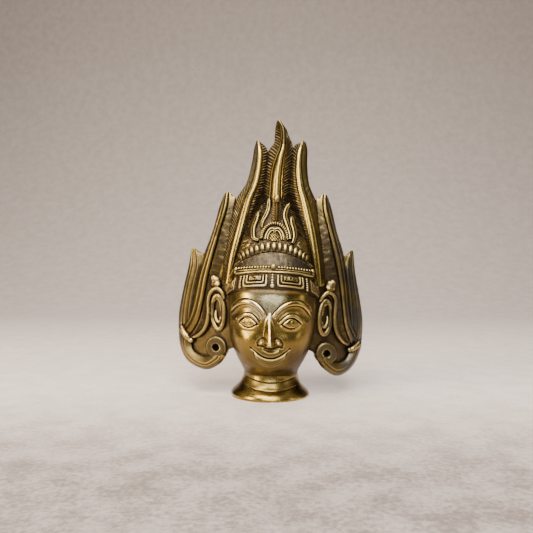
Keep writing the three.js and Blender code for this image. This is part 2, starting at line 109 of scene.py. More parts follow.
def through(points, at):
    """Smooth curve through points of any size, at shares from 0 to 1 of the way."""
    knots = np.array([list(p) + [0] * (3 - len(p)) for p in points], float)
    knots = np.vstack([2 * knots[0] - knots[1], knots, 2 * knots[-1] - knots[-2]])
    place = np.asarray(at, float) * (len(points) - 1)
    i = np.clip(place.astype(int), 0, len(points) - 2)
    t = (place - i)[:, None]
    before, a, b, after = knots[i], knots[i + 1], knots[i + 2], knots[i + 3]
    out, back = 0.5 * (b - before), 0.5 * (after - a)
    return ((2 * t**3 - 3 * t**2 + 1) * a + (t**3 - 2 * t**2 + t) * out
            + (3 * t**2 - 2 * t**3) * b + (t**3 - t**2) * back)


def shares(count):
    return np.linspace(0, 1, count)


def round_turns(count):
    return np.arange(count) * 2 * math.pi / count


def run_along(points):
    """Distance along a row of points to each of them."""
    return np.concatenate([[0], np.cumsum(np.linalg.norm(np.diff(points, axis=0), axis=1))])


# Forms that the head and the hair follow
half_width = profile([
    [14, 20], [20, 21.4], [24, 23], [29, 25.6], [35, 28.4], [43, 31.3], [52, 32.9], [62, face_half_width],
    [74, 34.2], [84, 35], [92, 34.4], [100, 31.8], [107, 29.4], [115, 27], [124, 24], [136, 19],
    [148, 12], [156, 6],
])
front_depth = profile([
    [14, 19], [18.5, 21.7], [21.5, 27.5], [24, 32], [28, 36], [33, 37.8], [46, 39.2], [58, 39.6],
    [70, forehead_depth], [86, forehead_depth], [94, 39.4], [101, 37.6], [108, 34.4], [115, 30.4],
    [122, 26.6], [132, 22.6], [142, 19], [156, 13],
])
widest_y = profile([[14, 0], [22, -2], [32, -5], [42, -8], [100, -10], [116, -15], [156, -13]])
back_reach = profile([[14, 19], [22, 20], [29, 15], [37, 8], [45, 3], [52, 1], [156, 1]])
# The middle line of the face and of its ornaments wanders a little from side to side
middle_line = profile([
    [20, -0.3], [28, 0], [39, 0], [46, -0.4], [55, -0.8], [63, -1.2], [75, -0.6], [85, 0.3], [101, 1.1],
])


def fan_y(x, z):
    above = np.maximum(0, z - lean_start)
    return -fan_depth + fan_curl * x * x + lean_slope * above * above / (above + lean_ease)


def head_y(x, z):
    across = np.minimum(np.abs(x) / half_width(z), 1)
    reach = front_depth(z) + widest_y(z)
    return widest_y(z) - reach * (1 - across**head_power) ** (1 / head_power)


def stack(x, y, z):
    return np.stack(np.broadcast_arrays(x, y, z), axis=-1).astype(float)


def unit(vectors):
    return vectors / np.linalg.norm(vectors, axis=-1, keepdims=True)


def on_fan(x, z, height):
    return stack(x, fan_y(x, z) - height, z)


def on_head(x, z, height):
    step = 0.5
    slope_x = (head_y(x + step, z) - head_y(x - step, z)) / (2 * step)
    slope_z = (head_y(x, z + step) - head_y(x, z - step)) / (2 * step)
    normal = unit(stack(slope_x, -1, slope_z))
    return stack(x, head_y(x, z), z) + normal * np.asarray(height)[..., None]


def on_crown(x, z, height):
    return stack(x, np.minimum(head_y(x, z), fan_y(x, z) - crown_lift) - height, z)


def lean(points):
    """The casting is not quite even: the top sways right, the right ear hangs lower, and the head rolls."""
    x, y, z = points[:, 0], points[:, 1], points[:, 2]
    top_sway = 2.7 * smooth((z - 150) / 45)
    side_sway = -2 * smooth((np.abs(x) - 52) / 16)
    side_drop = np.sign(x) * smooth((np.abs(x) - 36) / 18) * (0.8 - 1.5 * smooth((z - 88) / 24))
    x = x + top_sway + side_sway
    z = z - side_drop
    c, s = math.cos(roll_angle), math.sin(roll_angle)
    return np.stack([x * c + z * s, y, z * c - x * s], axis=-1)


# Closed skins over rings of points, each with how dark and how dull its surface is
def faces_of(rows, count, closed):
    i, j = np.meshgrid(np.arange(rows if closed else rows - 1), np.arange(count), indexing="ij")
    k, after = (j + 1) % count, (i + 1) % rows
    a, b, c, d = i * count + j, i * count + k, after * count + k, after * count + j
    return np.stack([a, b, c, d], axis=-1).reshape(-1, 4)


def split(points, quads):
    """Quads to triangles over the shorter diagonal."""
    a, b, c, d = quads.T
    short = np.linalg.norm(points[a] - points[c], axis=1) <= np.linalg.norm(points[b] - points[d], axis=1)
    first = np.where(short[:, None], np.stack([a, b, c], 1), np.stack([a, b, d], 1))
    second = np.where(short[:, None], np.stack([a, c, d], 1), np.stack([b, c, d], 1))
    return np.vstack([first, second])


def volumes(points, triangles):
    """Six times the signed volume between each triangle and the origin."""
    corners = points[triangles].astype(float)
    return np.einsum("ij,ij->i", corners[:, 0], np.cross(corners[:, 1], corners[:, 2]))


def edges_of(triangles):
    return np.vstack([triangles[:, [0, 1]], triangles[:, [1, 2]], triangles[:, [2, 0]]])


def loft(rings, dark=0.0, dull=0.0, closed=False, move=lean):
    """Closed skin over rings of points; open ends are shut by fans of triangles."""
    rings = np.asarray(rings, float)
    rows, count = rings.shape[:2]
    points = rings.reshape(-1, 3)
    tones = [np.broadcast_to(tone, (rows, count)).reshape(-1).astype(float) for tone in (dark, dull)]
    quads = faces_of(rows, count, closed)
    caps = []
    if not closed:
        for end in (0, rows - 1):
            ring = np.arange(end * count, (end + 1) * count)
            middle = len(points)
            points = np.vstack([points, points[ring].mean(axis=0)])
            tones = [np.append(tone, tone[ring].mean()) for tone in tones]
            pair = np.stack([ring, np.roll(ring, -1)], 1)
            pair = pair[:, ::-1] if end == 0 else pair
            caps.append(np.column_stack([pair, np.full(count, middle)]))
    triangles = np.vstack([split(points, quads)] + caps)
    if volumes(points, triangles).sum() < 0:
        triangles = triangles[:, ::-1]
    return move(points), triangles, tones[0], tones[1]


def joined(shells):
    """Several skins that don't touch, as one."""
    offset, parts = 0, []
    for points, triangles, dark, dull in shells:
        parts.append((points, triangles + offset, dark, dull))
        offset += len(points)
    return tuple(np.concatenate([part[k] for part in parts]) for k in range(4))


def alternate(rows):
    """Two skins, each of every other part of the rows, because neighbours may touch."""
    return [joined([shell for row in rows for shell in row[start::2]]) for start in (1, 0)]


def panel(side, place, x, z, height, deep, dark, behind_dark, dull=0.0, behind_dull=0.0, ends=(-1, 0)):
    """Skin of rows of places at this height on a surface, closed by points this deep under some of them."""
    ends = list(ends)
    behind = place(side * x[:, ends], z[:, ends], np.full((len(x), len(ends)), -deep))
    tones = [np.hstack([np.broadcast_to(tone, x.shape), np.full(behind.shape[:2], value)])
             for tone, value in ((dark, behind_dark), (dull, behind_dull))]
    return loft(np.concatenate([place(side * x, z, height), behind], axis=1), *tones)


def halfway(a, b):
    """Middle of pairs of chart places, where the first coordinate is an angle that wraps round."""
    a, b = a.copy(), b.copy()
    far = np.abs(a[:, 0] - b[:, 0]) > math.pi
    a[far & (a[:, 0] < 0), 0] += 2 * math.pi
    b[far & (b[:, 0] < 0), 0] += 2 * math.pi
    middle = (a + b) / 2
    middle[middle[:, 0] > math.pi, 0] -= 2 * math.pi
    return middle


def refined(chart, triangles, place, wanted, rounds=9):
    """Halves the longest edges of a chart's triangles until they are as short as wanted there."""
    for _ in range(rounds):
        edges, where = np.unique(np.sort(edges_of(triangles), axis=1), axis=0, return_inverse=True)
        where = where.reshape(3, -1).T
        middle = halfway(chart[edges[:, 0]], chart[edges[:, 1]])
        ends = place(chart)
        length = np.linalg.norm(ends[edges[:, 0]] - ends[edges[:, 1]], axis=1)
        marked = length > wanted(middle)
        if not marked.any():
            break
        # A triangle with any edge to be halved has its longest edge halved too
        rows = np.arange(len(triangles))
        longest = length[where].argmax(axis=1)
        while True:
            touched = marked[where].any(axis=1)
            also = np.zeros_like(marked)
            also[where[rows, longest][touched]] = True
            if not (also & ~marked).any():
                break
            marked |= also
        number = np.full(len(edges), -1)
        number[marked] = len(chart) + np.arange(marked.sum())
        chart = np.vstack([chart, middle[marked]])
        order = (longest[:, None] + np.arange(3)) % 3
        a, b, c = triangles[rows[:, None], order].T
        m, n, p = number[where[rows[:, None], order]].T
        first, second, third = m >= 0, n >= 0, p >= 0
        pieces = [
            (~first, (a, b, c)),
            (first & ~second, (m, b, c)), (first & second, (m, b, n)), (first & second, (m, n, c)),
            (first & ~third, (a, m, c)), (first & third, (a, m, p)), (first & third, (m, c, p)),
        ]
        triangles = np.concatenate([np.stack(corners, 1)[keep] for keep, corners in pieces])
    return chart, triangles


def head_place(chart):
    """The plain head's surface at an angle round it and a height."""
    turn, z = chart.T
    power = 2 / head_power
    ahead = np.abs(turn) <= math.pi / 2 + 1e-9
    across, along = np.sin(turn), np.cos(turn)
    x = np.where(ahead, np.sign(across) * np.abs(across) ** power, across)
    front = (front_depth(z) + widest_y(z)) * np.abs(along) ** power
    return stack(half_width(z) * x, widest_y(z) - np.where(ahead, front, back_reach(z) * along), z)


def head_normal(chart):
    turn_step, height_step = np.array([0.004, 0.0]), np.array([0.0, 0.15])
    across, up = (head_place(chart + step) - head_place(chart - step) for step in (turn_step, height_step))
    normal = np.cross(across, up)
    return normal / np.maximum(np.linalg.norm(normal, axis=1, keepdims=True), 1e-9)


def head_skin(rows, spacing, wanted, relief):
    """Closed skin of part of the head, with relief given by places on it, fine where it is wanted."""
    quarter = 50  # millimetres round a quarter of the head
    relief_end, relief_fade = 1.5, 0.1  # the relief fades out at this angle from the front
    half = np.linspace(0, math.pi / 2, int(quarter / spacing))
    back = np.linspace(math.pi / 2, math.pi, 9)[1:]
    turns = np.concatenate([-back[-2::-1], -half[:0:-1], half, back])
    z, turn = np.meshgrid(rows, turns, indexing="ij")
    chart = np.stack([turn.ravel(), z.ravel()], axis=1)
    quads = faces_of(len(rows), len(turns), False)
    triangles = np.concatenate([quads[:, [0, 1, 2]], quads[:, [0, 2, 3]]])
    chart, triangles = refined(chart, triangles, head_place, wanted)
    plain = head_place(chart)
    height, dark, dull = relief(plain[:, 0], plain[:, 2])
    ahead = smooth((relief_end - np.abs(chart[:, 0])) / relief_fade)
    points = plain + head_normal(chart) * (height * ahead)[:, None]
    dark, dull = np.where(ahead > 0, dark, 0.5), dull * ahead
    for edge, flip in ((rows[0], True), (rows[-1], False)):
        ring = np.flatnonzero(np.abs(chart[:, 1] - edge) < 1e-6)
        ring = ring[np.argsort(chart[ring, 0])]
        pair = np.stack([ring, np.roll(ring, -1)], 1)
        pair = pair[:, ::-1] if flip else pair
        triangles = np.vstack([triangles, np.column_stack([pair, np.full(len(ring), len(points))])])
        points = np.vstack([points, points[ring].mean(axis=0)])
        dark, dull = np.append(dark, 0.5), np.append(dull, 0)
    return lean(points), triangles, dark, dull


# Distance from points to a line, and grooves and ridges along lines
def distance(x, z, line):
    line = np.asarray(line, float)[:, :2]
    best = np.full(np.shape(x), 1e9)
    for (x0, z0), (x1, z1) in zip(line[:-1], line[1:]):
        run, rise = x1 - x0, z1 - z0
        t = np.clip(((x - x0) * run + (z - z0) * rise) / (run * run + rise * rise + 1e-9), 0, 1)
        best = np.minimum(best, np.hypot(x - x0 - t * run, z - z0 - t * rise))
    return best


def bell(d, width):
    return np.exp(-((d / width) ** 2))


def dome(d, radius):
    """Rounded bump of height 1 and this radius."""
    return np.sqrt(np.clip(1 - (d / radius) ** 2, 0, 1))


def curve(points, count=30):
    return through(points, shares(count))[:, :2]


def ripple(a, b, seed, scale):
    """Smooth uneven pattern between -1 and 1, the same every time."""
    total = 0.0
    for k in range(5):
        turn = seed * 1.7 + k * 2.4
        spin = a * math.cos(turn) + b * math.sin(turn)
        total = total + np.sin(spin * (1 + 0.37 * k) * 2 * math.pi / scale + seed * 3.1 + k * 1.3)
    return total / 5


# Face
def both_halves(half):
    """A line and its mirror image, joined at the middle."""
    return [[-x, z] for x, z in half[:0:-1]] + half


def between(value, low, high):
    return np.clip((value - low) / np.maximum(high - low, 0.01), 0, 1)


def roll_between(z, low, high, power=0.6):
    """Rounded roll of height 1 from a low line to a high line."""
    share = between(z, low, high)
    return np.sin(math.pi * share) ** power * (share > 0) * (share < 1)


# Lines of each half of the face, from its middle line outward
brow_top = [[1.3, 65], [3, 67.7], [5.1, 70.4], [7.7, 72.9], [11, 75.1], [15, 76.5], [18.5, 77], [22.5, 76.2],
            [26.3, 74], [28.8, 71.4], [30.8, 67.8]]
brow_bottom = [[4.3, 63.8], [6.3, 66.6], [9, 69.3], [12.5, 71.6], [16.5, 72.6], [20.5, 72.4], [23.8, 71.2],
               [26.4, 68.9], [28.8, 66], [30.3, 64.3]]
lid_line = [[6.7, 60.2], [8.2, 62], [10.5, 64.4], [13.1, 66.2], [16, 66.9], [18.7, 66.7], [21.4, 65.4],
            [23.7, 63], [24.8, 61.2]]
eye_top = [[8.8, 58.9], [10.9, 61.2], [13, 62.9], [15.5, 63.7], [17.8, 63.4], [19.9, 62], [22.4, 59.7]]
eye_bottom = [[8.8, 58.9], [10.6, 57.9], [12.8, 56.6], [15.2, 56], [17.9, 56.3], [20.3, 57.6], [22.4, 59.7]]
wing_curl = [[3.9, 48.6], [5.4, 48.9], [6.9, 48.4], [8.2, 47.2], [9.1, 45.6], [9.1, 44.2], [8.6, 43.2]]
mouth_half = [[0, 34.4], [2.6, 34.7], [5.3, 35.6], [7.8, 36.9], [10.2, 38.4], [12.2, 39.7], [14, 41.3]]
lip_half = [[0, 28.4], [4, 29.2], [7.6, 31], [9.9, 33], [11.1, 35.1], [12.1, 37.8]]
# Lines right across the face
# The line under the nose is a shallow cut painted dark: painted shadow under the nose.
under_nose_shadow = [[-8.7, 43.2], [-6.7, 42.9], [-3.8, 42.6], [-0.9, 42.1], [1.2, 41.9], [4, 42.2], [6.8, 42.3],
              [9, 42]]
lip_rim = [[-5.2, 41.2], [-4.9, 39.6], [-2.2, 38.3], [0.5, 38], [4, 38.5], [6, 39.4]]
# Points, half width, depth and darkness of the lines engraved on each half of the face
face_cuts = [
    (brow_top, 0.3, 0.45, 0.9), (brow_bottom, 0.32, 0.45, 0.9), (lid_line, 0.32, 0.5, 0.95),
    (eye_top, 0.42, 0.7, 1), (eye_bottom, 0.4, 0.65, 1), (wing_curl, 0.48, 0.7, 1),
]
# Points, half width and depth of the lines engraved across it
mouth_cuts = [
    (both_halves(mouth_half), 0.46, 0.9), (both_halves(lip_half), 0.34, 0.6), (under_nose_shadow, 0.62, 0.9),
]
# Pits at the corners of the mouth and of the eyes: place across, height and reach
corner_pits = [(14, 41.4, 0.85), (8.9, 58.9, 0.6), (22.2, 59.6, 0.55)]
iris_centre, iris_radius, pupil_radius = (16.6, 60.1), 2.5, 1.35
gaze_shift = 1.0  # both eyes look to the viewer's right by this much
# How far the nose stands out, the half width of its ridge and the half width of its foot, by height
nose_out = profile([
    [41.8, 0], [42.5, 2.4], [43.1, 6.2], [44.2, 8.6], [46, 8.5], [48.5, 7.6], [53, 5.6], [58, 3.5], [62, 1.9],
    [65, 0.7], [67.5, 0],
])
nose_ridge = profile([[42, 1.5], [44, 1.3], [46, 0.9], [49, 0.62], [66, 0.6]])
nose_foot = profile([[42, 6.2], [44, 6], [47, 5.2], [53, 4.6], [59, 3.9], [63, 3], [67.5, 1.6]])


def nose_height(x, z):
    ridge = nose_out(z) * (1 - between(np.abs(x), nose_ridge(z), nose_foot(z))) ** 1.45
    wing = 3.2 * bell(np.hypot((np.abs(x) - 5.9) / 2.7, (z - 45.5) / 2.5), 0.85)
    return (ridge**3 + wing**3) ** (1 / 3)


def cheek_and_chin(x, z):
    a = np.abs(x)
    cheek = bell(np.hypot((a - 16) / 1.5, z - 46), 6.5)
    chin = bell(np.hypot(x, (z - 24) * 1.1), 5.5)
    under_eye = bell(np.hypot((a - 15) / 2.4, z - 53.4), 1.9)
    under_lip = bell(np.hypot(x / 1.6, z - 26.4), 2)
    chin_ridge = bell(x, 0.9) * smooth((27.2 - z) / 1.5) * smooth((z - 20) / 2)
    return 1.3 * cheek + 1.2 * chin - 0.7 * under_eye - 0.5 * under_lip + 0.5 * chin_ridge


def brow_and_eye(a, z):
    """Height of the brows, lids and eyeballs, and alone the hollow under the brow and the eyeball."""
    socket = roll_between(z, profile(lid_line)(a), profile(brow_bottom)(a)) * smooth((a - 4) / 4)
    brow = roll_between(z, profile(brow_bottom)(a), profile(brow_top)(a), 0.5)
    brow = brow * smooth((a - 1.2) / 3) * smooth((31 - a) / 3)
    lid = roll_between(z, profile(eye_top)(a), profile(lid_line)(a), 0.5)
    lid = lid * smooth((a - 6.5) / 2.5) * smooth((25 - a) / 2.5)
    eyeball = roll_between(z, profile(eye_bottom)(a), profile(eye_top)(a), 0.5) * (a > 8.6) * (a < 22.6)
    lower_lid = bell(distance(a, z + 1.2, curve(eye_bottom)), 0.8)
    height = 1.2 * eyeball - 0.9 * socket * smooth((30 - a) / 3) + 1.1 * brow + lid + 0.4 * lower_lid
    return height, socket, eyeball


def lips(x, z):
    a = np.abs(x)
    seam = profile(mouth_half)(np.minimum(a, 14))
    muzzle = 1.3 * smooth((42.5 - z) / 6.5) * smooth((13.8 - a) / 9) * (z > seam)
    hollow = bell(np.hypot((x - 0.3) / 4.0, (z - 40.6) / 2.0), 1)
    rim = bell(distance(x, z, curve(lip_rim)), 0.75)
    lower = roll_between(z, profile(lip_half)(a), seam, 0.5) * smooth((12.6 - a) / 3)
    return muzzle - 0.9 * hollow + 0.45 * rim + 2.0 * lower


def engraving(x, z, on_eyeball):
    """Depth and darkness of the face's engraved lines."""
    a = np.abs(x)
    gaze = np.abs(x - gaze_shift)
    depths, tones = [], []
    for points, width, depth, tone in face_cuts:
        d = distance(a, z, curve(points))
        depths.append(depth * bell(d, width))
        tones.append(tone * bell(d, width * 1.15))
    for points, width, depth in mouth_cuts:
        d = distance(x, z, curve(points, 50))
        depths.append(depth * bell(d, width))
        tones.append(bell(d, width * 1.2))
    for aside, radius, width, depth in ((0, iris_radius, 0.26, 0.3), (0.3, pupil_radius, 0.22, 0.16)):
        ring = np.hypot(gaze - iris_centre[0] - aside, z - iris_centre[1]) - radius
        depths.append(depth * bell(ring, width) * on_eyeball)
        tones.append(1.9 * depths[-1])
    for corner_x, corner_z, reach in corner_pits:
        pit = bell(np.hypot(a - corner_x, z - corner_z), reach)
        depths.append(0.7 * pit)
        tones.append(pit)
    return sum(depths), np.max(tones, axis=0)


def face_tarnish_and_shade(x, z, socket):
    """Thin dull tarnish on the lower face and at its sides, and a darkening toward the neck; much of both is
    painted shade, heavier on the viewer's right, in the eye sockets, beside the nose and in the fold under
    the chin.
    """
    a = np.abs(x)
    low, beside = smooth((50 - z) / 16), smooth((a - 24) / 7)
    # Painted shade: the viewer's right cheek is darker, on the side away from the light.
    right_cheek_shade = smooth((x - 4) / 14) * smooth((62 - z) / 20)
    beside_nose_shade = bell(np.hypot(a - 3.6, (z - 52) / 3), 1.9)
    dull_film_and_shade = 0.5 * low + 0.35 * beside + 0.25 * socket + 0.25 * right_cheek_shade + 0.4 * beside_nose_shade
    # Painted shade in the fold under the chin.
    chin_crease_shade = 0.45 * bell(z - 20.5, 1.8)
    # Painted shade with some tarnish: the lower face darkens toward the neck, more on the viewer's right.
    tarnish_and_shade_wash = (0.37 + 0.06 * smooth(x / 16)) * smooth((52 - z) / 18)
    return np.clip(dull_film_and_shade, 0, 0.8), np.maximum(chin_crease_shade, tarnish_and_shade_wash)


def face_relief(x, z):
    """Height, darkness and dullness of the face's carving at places on the head, with tarnish and painted
    shade.
    """
    x = x - middle_line(z)
    eyes, socket, eyeball = brow_and_eye(np.abs(x), z)
    cut, dark = engraving(x, z, smooth((eyeball - 0.3) / 0.2))
    lean_back = 1.1 * smooth((z - 68) / 18)
    height = nose_height(x, z) + cheek_and_chin(x, z) + eyes + lips(x, z) - cut - lean_back
    dull_film_and_shade, tarnish_and_shade_wash = face_tarnish_and_shade(x, z, socket)
    upper_end = smooth((84 - z) / 2)
    dark = np.maximum(dark, tarnish_and_shade_wash) * smooth((z - 14) / 2) * upper_end
    return height * smooth((z - 16) / 3) * upper_end, dark, dull_film_and_shade


def face_step(chart):
    """How short the face's mesh edges are: shortest along its engraved lines."""
    place = head_place(chart)
    x, z = place[:, 0] - middle_line(place[:, 2]), place[:, 2]
    a = np.abs(x)
    near = np.full(len(x), 9.0)
    for points, *_ in face_cuts:
        near = np.minimum(near, distance(a, z, curve(points, 14)))
    for points, *_ in mouth_cuts:
        near = np.minimum(near, distance(x, z, curve(points, 24)))
    iris = np.hypot(np.abs(x - gaze_shift) - iris_centre[0], z - iris_centre[1])
    near = np.minimum(near, np.minimum(np.abs(iris - iris_radius), np.abs(iris - pupil_radius)))
    near_mouth = np.maximum(0.9, 0.7 * (a - 8)) + 0.7 * np.maximum(0, np.abs(z - 44) - 4)
    near = np.minimum(near, near_mouth)
    finest, coarsest, on_ridge, on_nose, elsewhere = 0.46, 2.4, 0.42, 0.85, 3.2
    step = np.clip(finest + 0.6 * np.maximum(near - 0.7, 0), finest, coarsest)
    ridge = (a < 1.3) & (z > 43) & (z < 67)
    nose = (a < 4.5) & (z > 43) & (z < 66)
    step = np.where(ridge, on_ridge, np.where(nose, np.minimum(step, on_nose), step))
    return np.where((np.abs(chart[:, 0]) < 1.5) & (z < 80) & (z > 18), step, elsewhere)


def face_shell():
    low, high, rows, spacing = 14, 90, 44, 1.9
    return head_skin(np.linspace(low, high, rows), spacing, face_step, face_relief)


# Cap and crown, above the band
def cap_edge(x):
    """Height of the cap's upper edge, which is highest a little to the right of the middle."""
    top, middle, fall = 112.4, 0.6, 0.0128
    x = x - middle
    return top - fall * x * x


def bead_line(x):
    """Height of the row of small beads that lies over the band."""
    top, fall = 100.0, 0.0028
    return top - fall * x * x


def crown_relief(x, z):
    """Fine upright streaks on the cap, and rough grain above it."""
    cap = smooth((cap_edge(x) - z) / 0.6) * smooth((z - bead_line(x)) / 0.6)
    crown = smooth((z - cap_edge(x)) / 0.6)
    streak = ripple(x * 2.6, z * 0.2, 3, 4.1) + 0.6 * ripple(x * 4.3, z * 0.25, 8, 4.1)
    grain = ripple(x, z, 5, 2.3) + ripple(x, z, 9, 3.4)
    height = 0.2 * cap * streak + 0.35 * crown * grain
    # Above the cap the crown is painted dark under its grain: painted shade in the gaps between the petals
    # and the ornament.
    dark = np.clip(cap * (0.36 - 0.3 * streak) + crown * (0.7 - 0.3 * grain), 0, 1)
    return height, dark, cap + 0.5 * crown


def crown_step(chart):
    place = head_place(chart)
    x, z = place[:, 0], place[:, 2]
    on_cap, above, behind_band, elsewhere = 1.3, 1.8, 2.5, 4
    step = np.where(z < cap_edge(x) + 9, on_cap, above)
    step = np.where(z < bead_line(x), behind_band, step)
    return np.where(np.abs(chart[:, 0]) < 1.5, step, elsewhere)


def crown_shell():
    low, high, rows, spacing = 86, 156, 28, 2.4
    return head_skin(np.linspace(low, high, rows), spacing, crown_step, crown_relief)


# Neck and foot
def turned(outline, segments, dark):
    """A round skin on the neck's axis from (radius, z) points."""
    radius, z = np.array(outline, float).T
    turn = round_turns(segments)
    return loft(stack(radius[:, None] * np.cos(turn), radius[:, None] * np.sin(turn), z[:, None]), dark)


def neck_and_foot():
    """Neck that flares to the foot, with two lines engraved round its front that dip in the middle."""
    outline = profile([
        [0, foot_radius - 0.3], [0.8, foot_radius], [2, 30.9], [3.4, 30.1], [4.8, 28.9], [6, 27.5],
        [7.2, 26.2], [8.6, 24.9], [9.8, 24], [11, 23.3], [12.4, 22.6], [14, 22], [16, 21.6],
        [18, neck_radius], [24, 21.2], [31, 21],
    ])
    line_heights, line_width, line_depth, dip = (7.1, 13.0), 0.34, 0.45, 4.0
    low, top, axis = -2, 31, 0.01
    turn = round_turns(144)

    def ring(radius, z):
        return stack(radius * np.cos(turn), radius * np.sin(turn), z)

    near_lines = [height + step for height in line_heights for step in np.linspace(-0.9, 0.9, 9)]
    between_lines = [0, 0.8, 2, 3.4, 4.8, 5.6, 8.8, 9.8, 11, 14.6, 16, 18, 24, top]
    levels = np.sort(between_lines + near_lines)[:, None]
    facing = np.clip(-np.sin(turn), 0, 1)
    cut = sum(bell(levels - height, line_width) for height in line_heights) * smooth((facing - 0.4) / 0.3)
    z = levels + dip * (1 - facing ** 2) * smooth((levels - 2) / 5) * smooth((top - levels) / 13)
    flare = ring(outline(z) - line_depth * cut, z)
    rings = np.concatenate([[ring(axis, low), ring(foot_radius - 0.3, low)], flare, [ring(axis, top)]])
    dark = np.pad(np.maximum(cut, 0.3 * smooth((z - 15) / 6)), ((2, 1), (0, 0)))
    dull = np.pad(0.3 * smooth((z - 6) / 8), ((2, 1), (0, 0)))
    return loft(rings, dark, dull)


def neck_hollow():
    """The hollow that runs up through the foot and the neck."""
    return turned([(0.01, -4), (27.5, -4), (26.5, 0), (24.6, 2), (20.5, 6), (18.3, 9), (neck_bore, 12),
                   (neck_bore, 31), (0.01, 31)], 72, 0.45)


def below_table():
    """A block under the table's level, which cuts the foot flat."""
    reach, depth = tip_height / 2, 40
    corners = [(-reach, -reach), (reach, -reach), (reach, reach), (-reach, reach)]
    return loft([[(x, y, z) for x, y in corners] for z in (-depth, 0)], 0.3, move=lambda points: points)


# The hollow inside the face, open to the back
hollow_half = profile([
    [26, 17.5], [30, 20.6], [36, 24.2], [46, 27.4], [62, 29], [84, 30], [96, 27], [104, 23], [111, 16],
    [116, 7],
])


def face_hollow():
    open_back, low, high, spacing = 45, 26, 116.1, 2.5
    turns = np.linspace(-math.pi / 2, math.pi / 2, 31)
    z, turn = np.meshgrid(np.arange(low, high, spacing), turns, indexing="ij")
    reach = front_depth(z) - head_wall + widest_y(z)
    rough = 0.35 * ripple(z, turn * 25, 4, 9)
    front = stack((hollow_half(z) + rough) * np.sin(turn), widest_y(z) - (reach + rough) * np.cos(turn), z)
    ends = [stack(side * hollow_half(z[:, :1]), open_back, z[:, :1]) for side in sides]
    return loft(np.concatenate([front] + ends, axis=1), 0.55, 0.4)


# Strips and cords
def woven(rails, columns, at):
    """Points between rails: columns say where from rail to rail they lie, and at says how far along."""
    columns = np.asarray(columns, float)
    low = np.clip(columns.astype(int), 0, len(rails) - 2)
    part = (columns - low)[:, None, None]
    lines = np.array([through(rail, at) for rail in rails])
    return np.moveaxis(lines[low] * (1 - part) + lines[low + 1] * part, 0, 1)


def strip(side, place, rails, rows, columns, bulge=0.0, sunk=1.0, dark=0.0):
    """A strip that lies on a surface between rails; columns are where points go from rail to rail."""
    mesh = woven(rails, columns, shares(rows))
    return panel(side, place, mesh[..., 0], mesh[..., 1], mesh[..., 2] + bulge, sunk, dark, 0.6)


def cord(side, place, points, radius, rows, faces=10, taper=0.0, closed=False, wave=None, dark=0.0, flat=1.0):
    """A round cord; wave and dark may depend on the distance along it and the angle round it."""
    knots = list(points) + ([points[0]] if closed else [])
    line = through(knots, shares(rows + 1 if closed else rows))
    centres = place(side * line[:, 0], line[:, 1], line[:, 2])
    if closed:
        centres = centres[:-1]
        ahead, behind = np.roll(centres, -1, axis=0), np.roll(centres, 1, axis=0)
    else:
        ahead = np.vstack([centres[1:], centres[-1:]])
        behind = np.vstack([centres[:1], centres[:-1]])
    along = unit(ahead - behind)
    across = unit(np.cross(along, [0, -1, 0]))
    out = np.cross(across, along)
    share = np.linspace(-1, 1, len(centres))
    size = radius * (1 - taper * share**4)
    turn = round_turns(faces)
    here = run_along(centres)[:, None], turn[None, :]
    radii = size[:, None] + (wave(*here) if wave else np.zeros((1, faces)))
    rings = (centres[:, None] + across[:, None] * (radii * np.cos(turn))[..., None]
             + out[:, None] * (radii * np.sin(turn) * flat)[..., None])
    underside = 0.7 * np.clip(-np.sin(turn), 0, 1)
    return loft(rings, np.maximum(underside, dark(*here) if callable(dark) else dark), closed=closed)


def unit_ball(rings, faces):
    """Rings of points on a ball of radius 1 that stands on its pole."""
    up = np.linspace(-math.pi / 2, math.pi / 2, rings + 2)[1:-1, None]
    turn = round_turns(faces)
    return stack(np.cos(up) * np.cos(turn), np.cos(up) * np.sin(turn), np.sin(up))


def ball(centre, radius, rings=7, faces=10):
    """A bead round a point in space, with its poles ahead and behind."""
    return loft(np.asarray(centre, float) + radius * unit_ball(rings, faces)[..., [0, 2, 1]])


def bead(place, x, z, radius, height, **options):
    return ball(place(x, z, height), radius, **options)


# Jewelled band round the forehead
def band_point(turn, up, height):
    z0 = band_low + up * (band_high - band_low)
    power = 2 / head_power
    x = half_width(z0) * np.sign(turn) * np.sin(np.abs(turn)) ** power
    y = widest_y(z0) - (front_depth(z0) + widest_y(z0)) * np.cos(turn) ** power
    drop = band_droop * (y + front_depth(z0))
    outward = unit(stack(np.sin(turn), -np.cos(turn), 0.12))
    return stack(x, y, z0 - drop) + outward * np.asarray(height)[..., None]


band_turns = np.linspace(0, 1.5, 1501)
band_line = band_point(band_turns, 0.5, 0.0)[:, :2]
band_run = run_along(band_line)
band_middle = 0.6  # where the middle of the band's ornament lies, to the right of the head's middle
band_ground = 0.7  # height of the band's plain ground


def band_turn(run):
    run = run + band_middle
    return np.sign(run) * np.interp(np.abs(run), band_run, band_turns)


def on_band(run, up, height):
    """A place on the band: run along it and up it, in millimetres."""
    return band_point(band_turn(run), up / (band_high - band_low), height)


def with_bar(height, dark, away, half, tall):
    """Adds a rounded bar along a line, from how far each place is away from it."""
    raised = np.maximum(height, band_ground + tall * dome(away, half))
    return raised, dark - dark * smooth((half * 1.05 - away) / (half * 0.5))


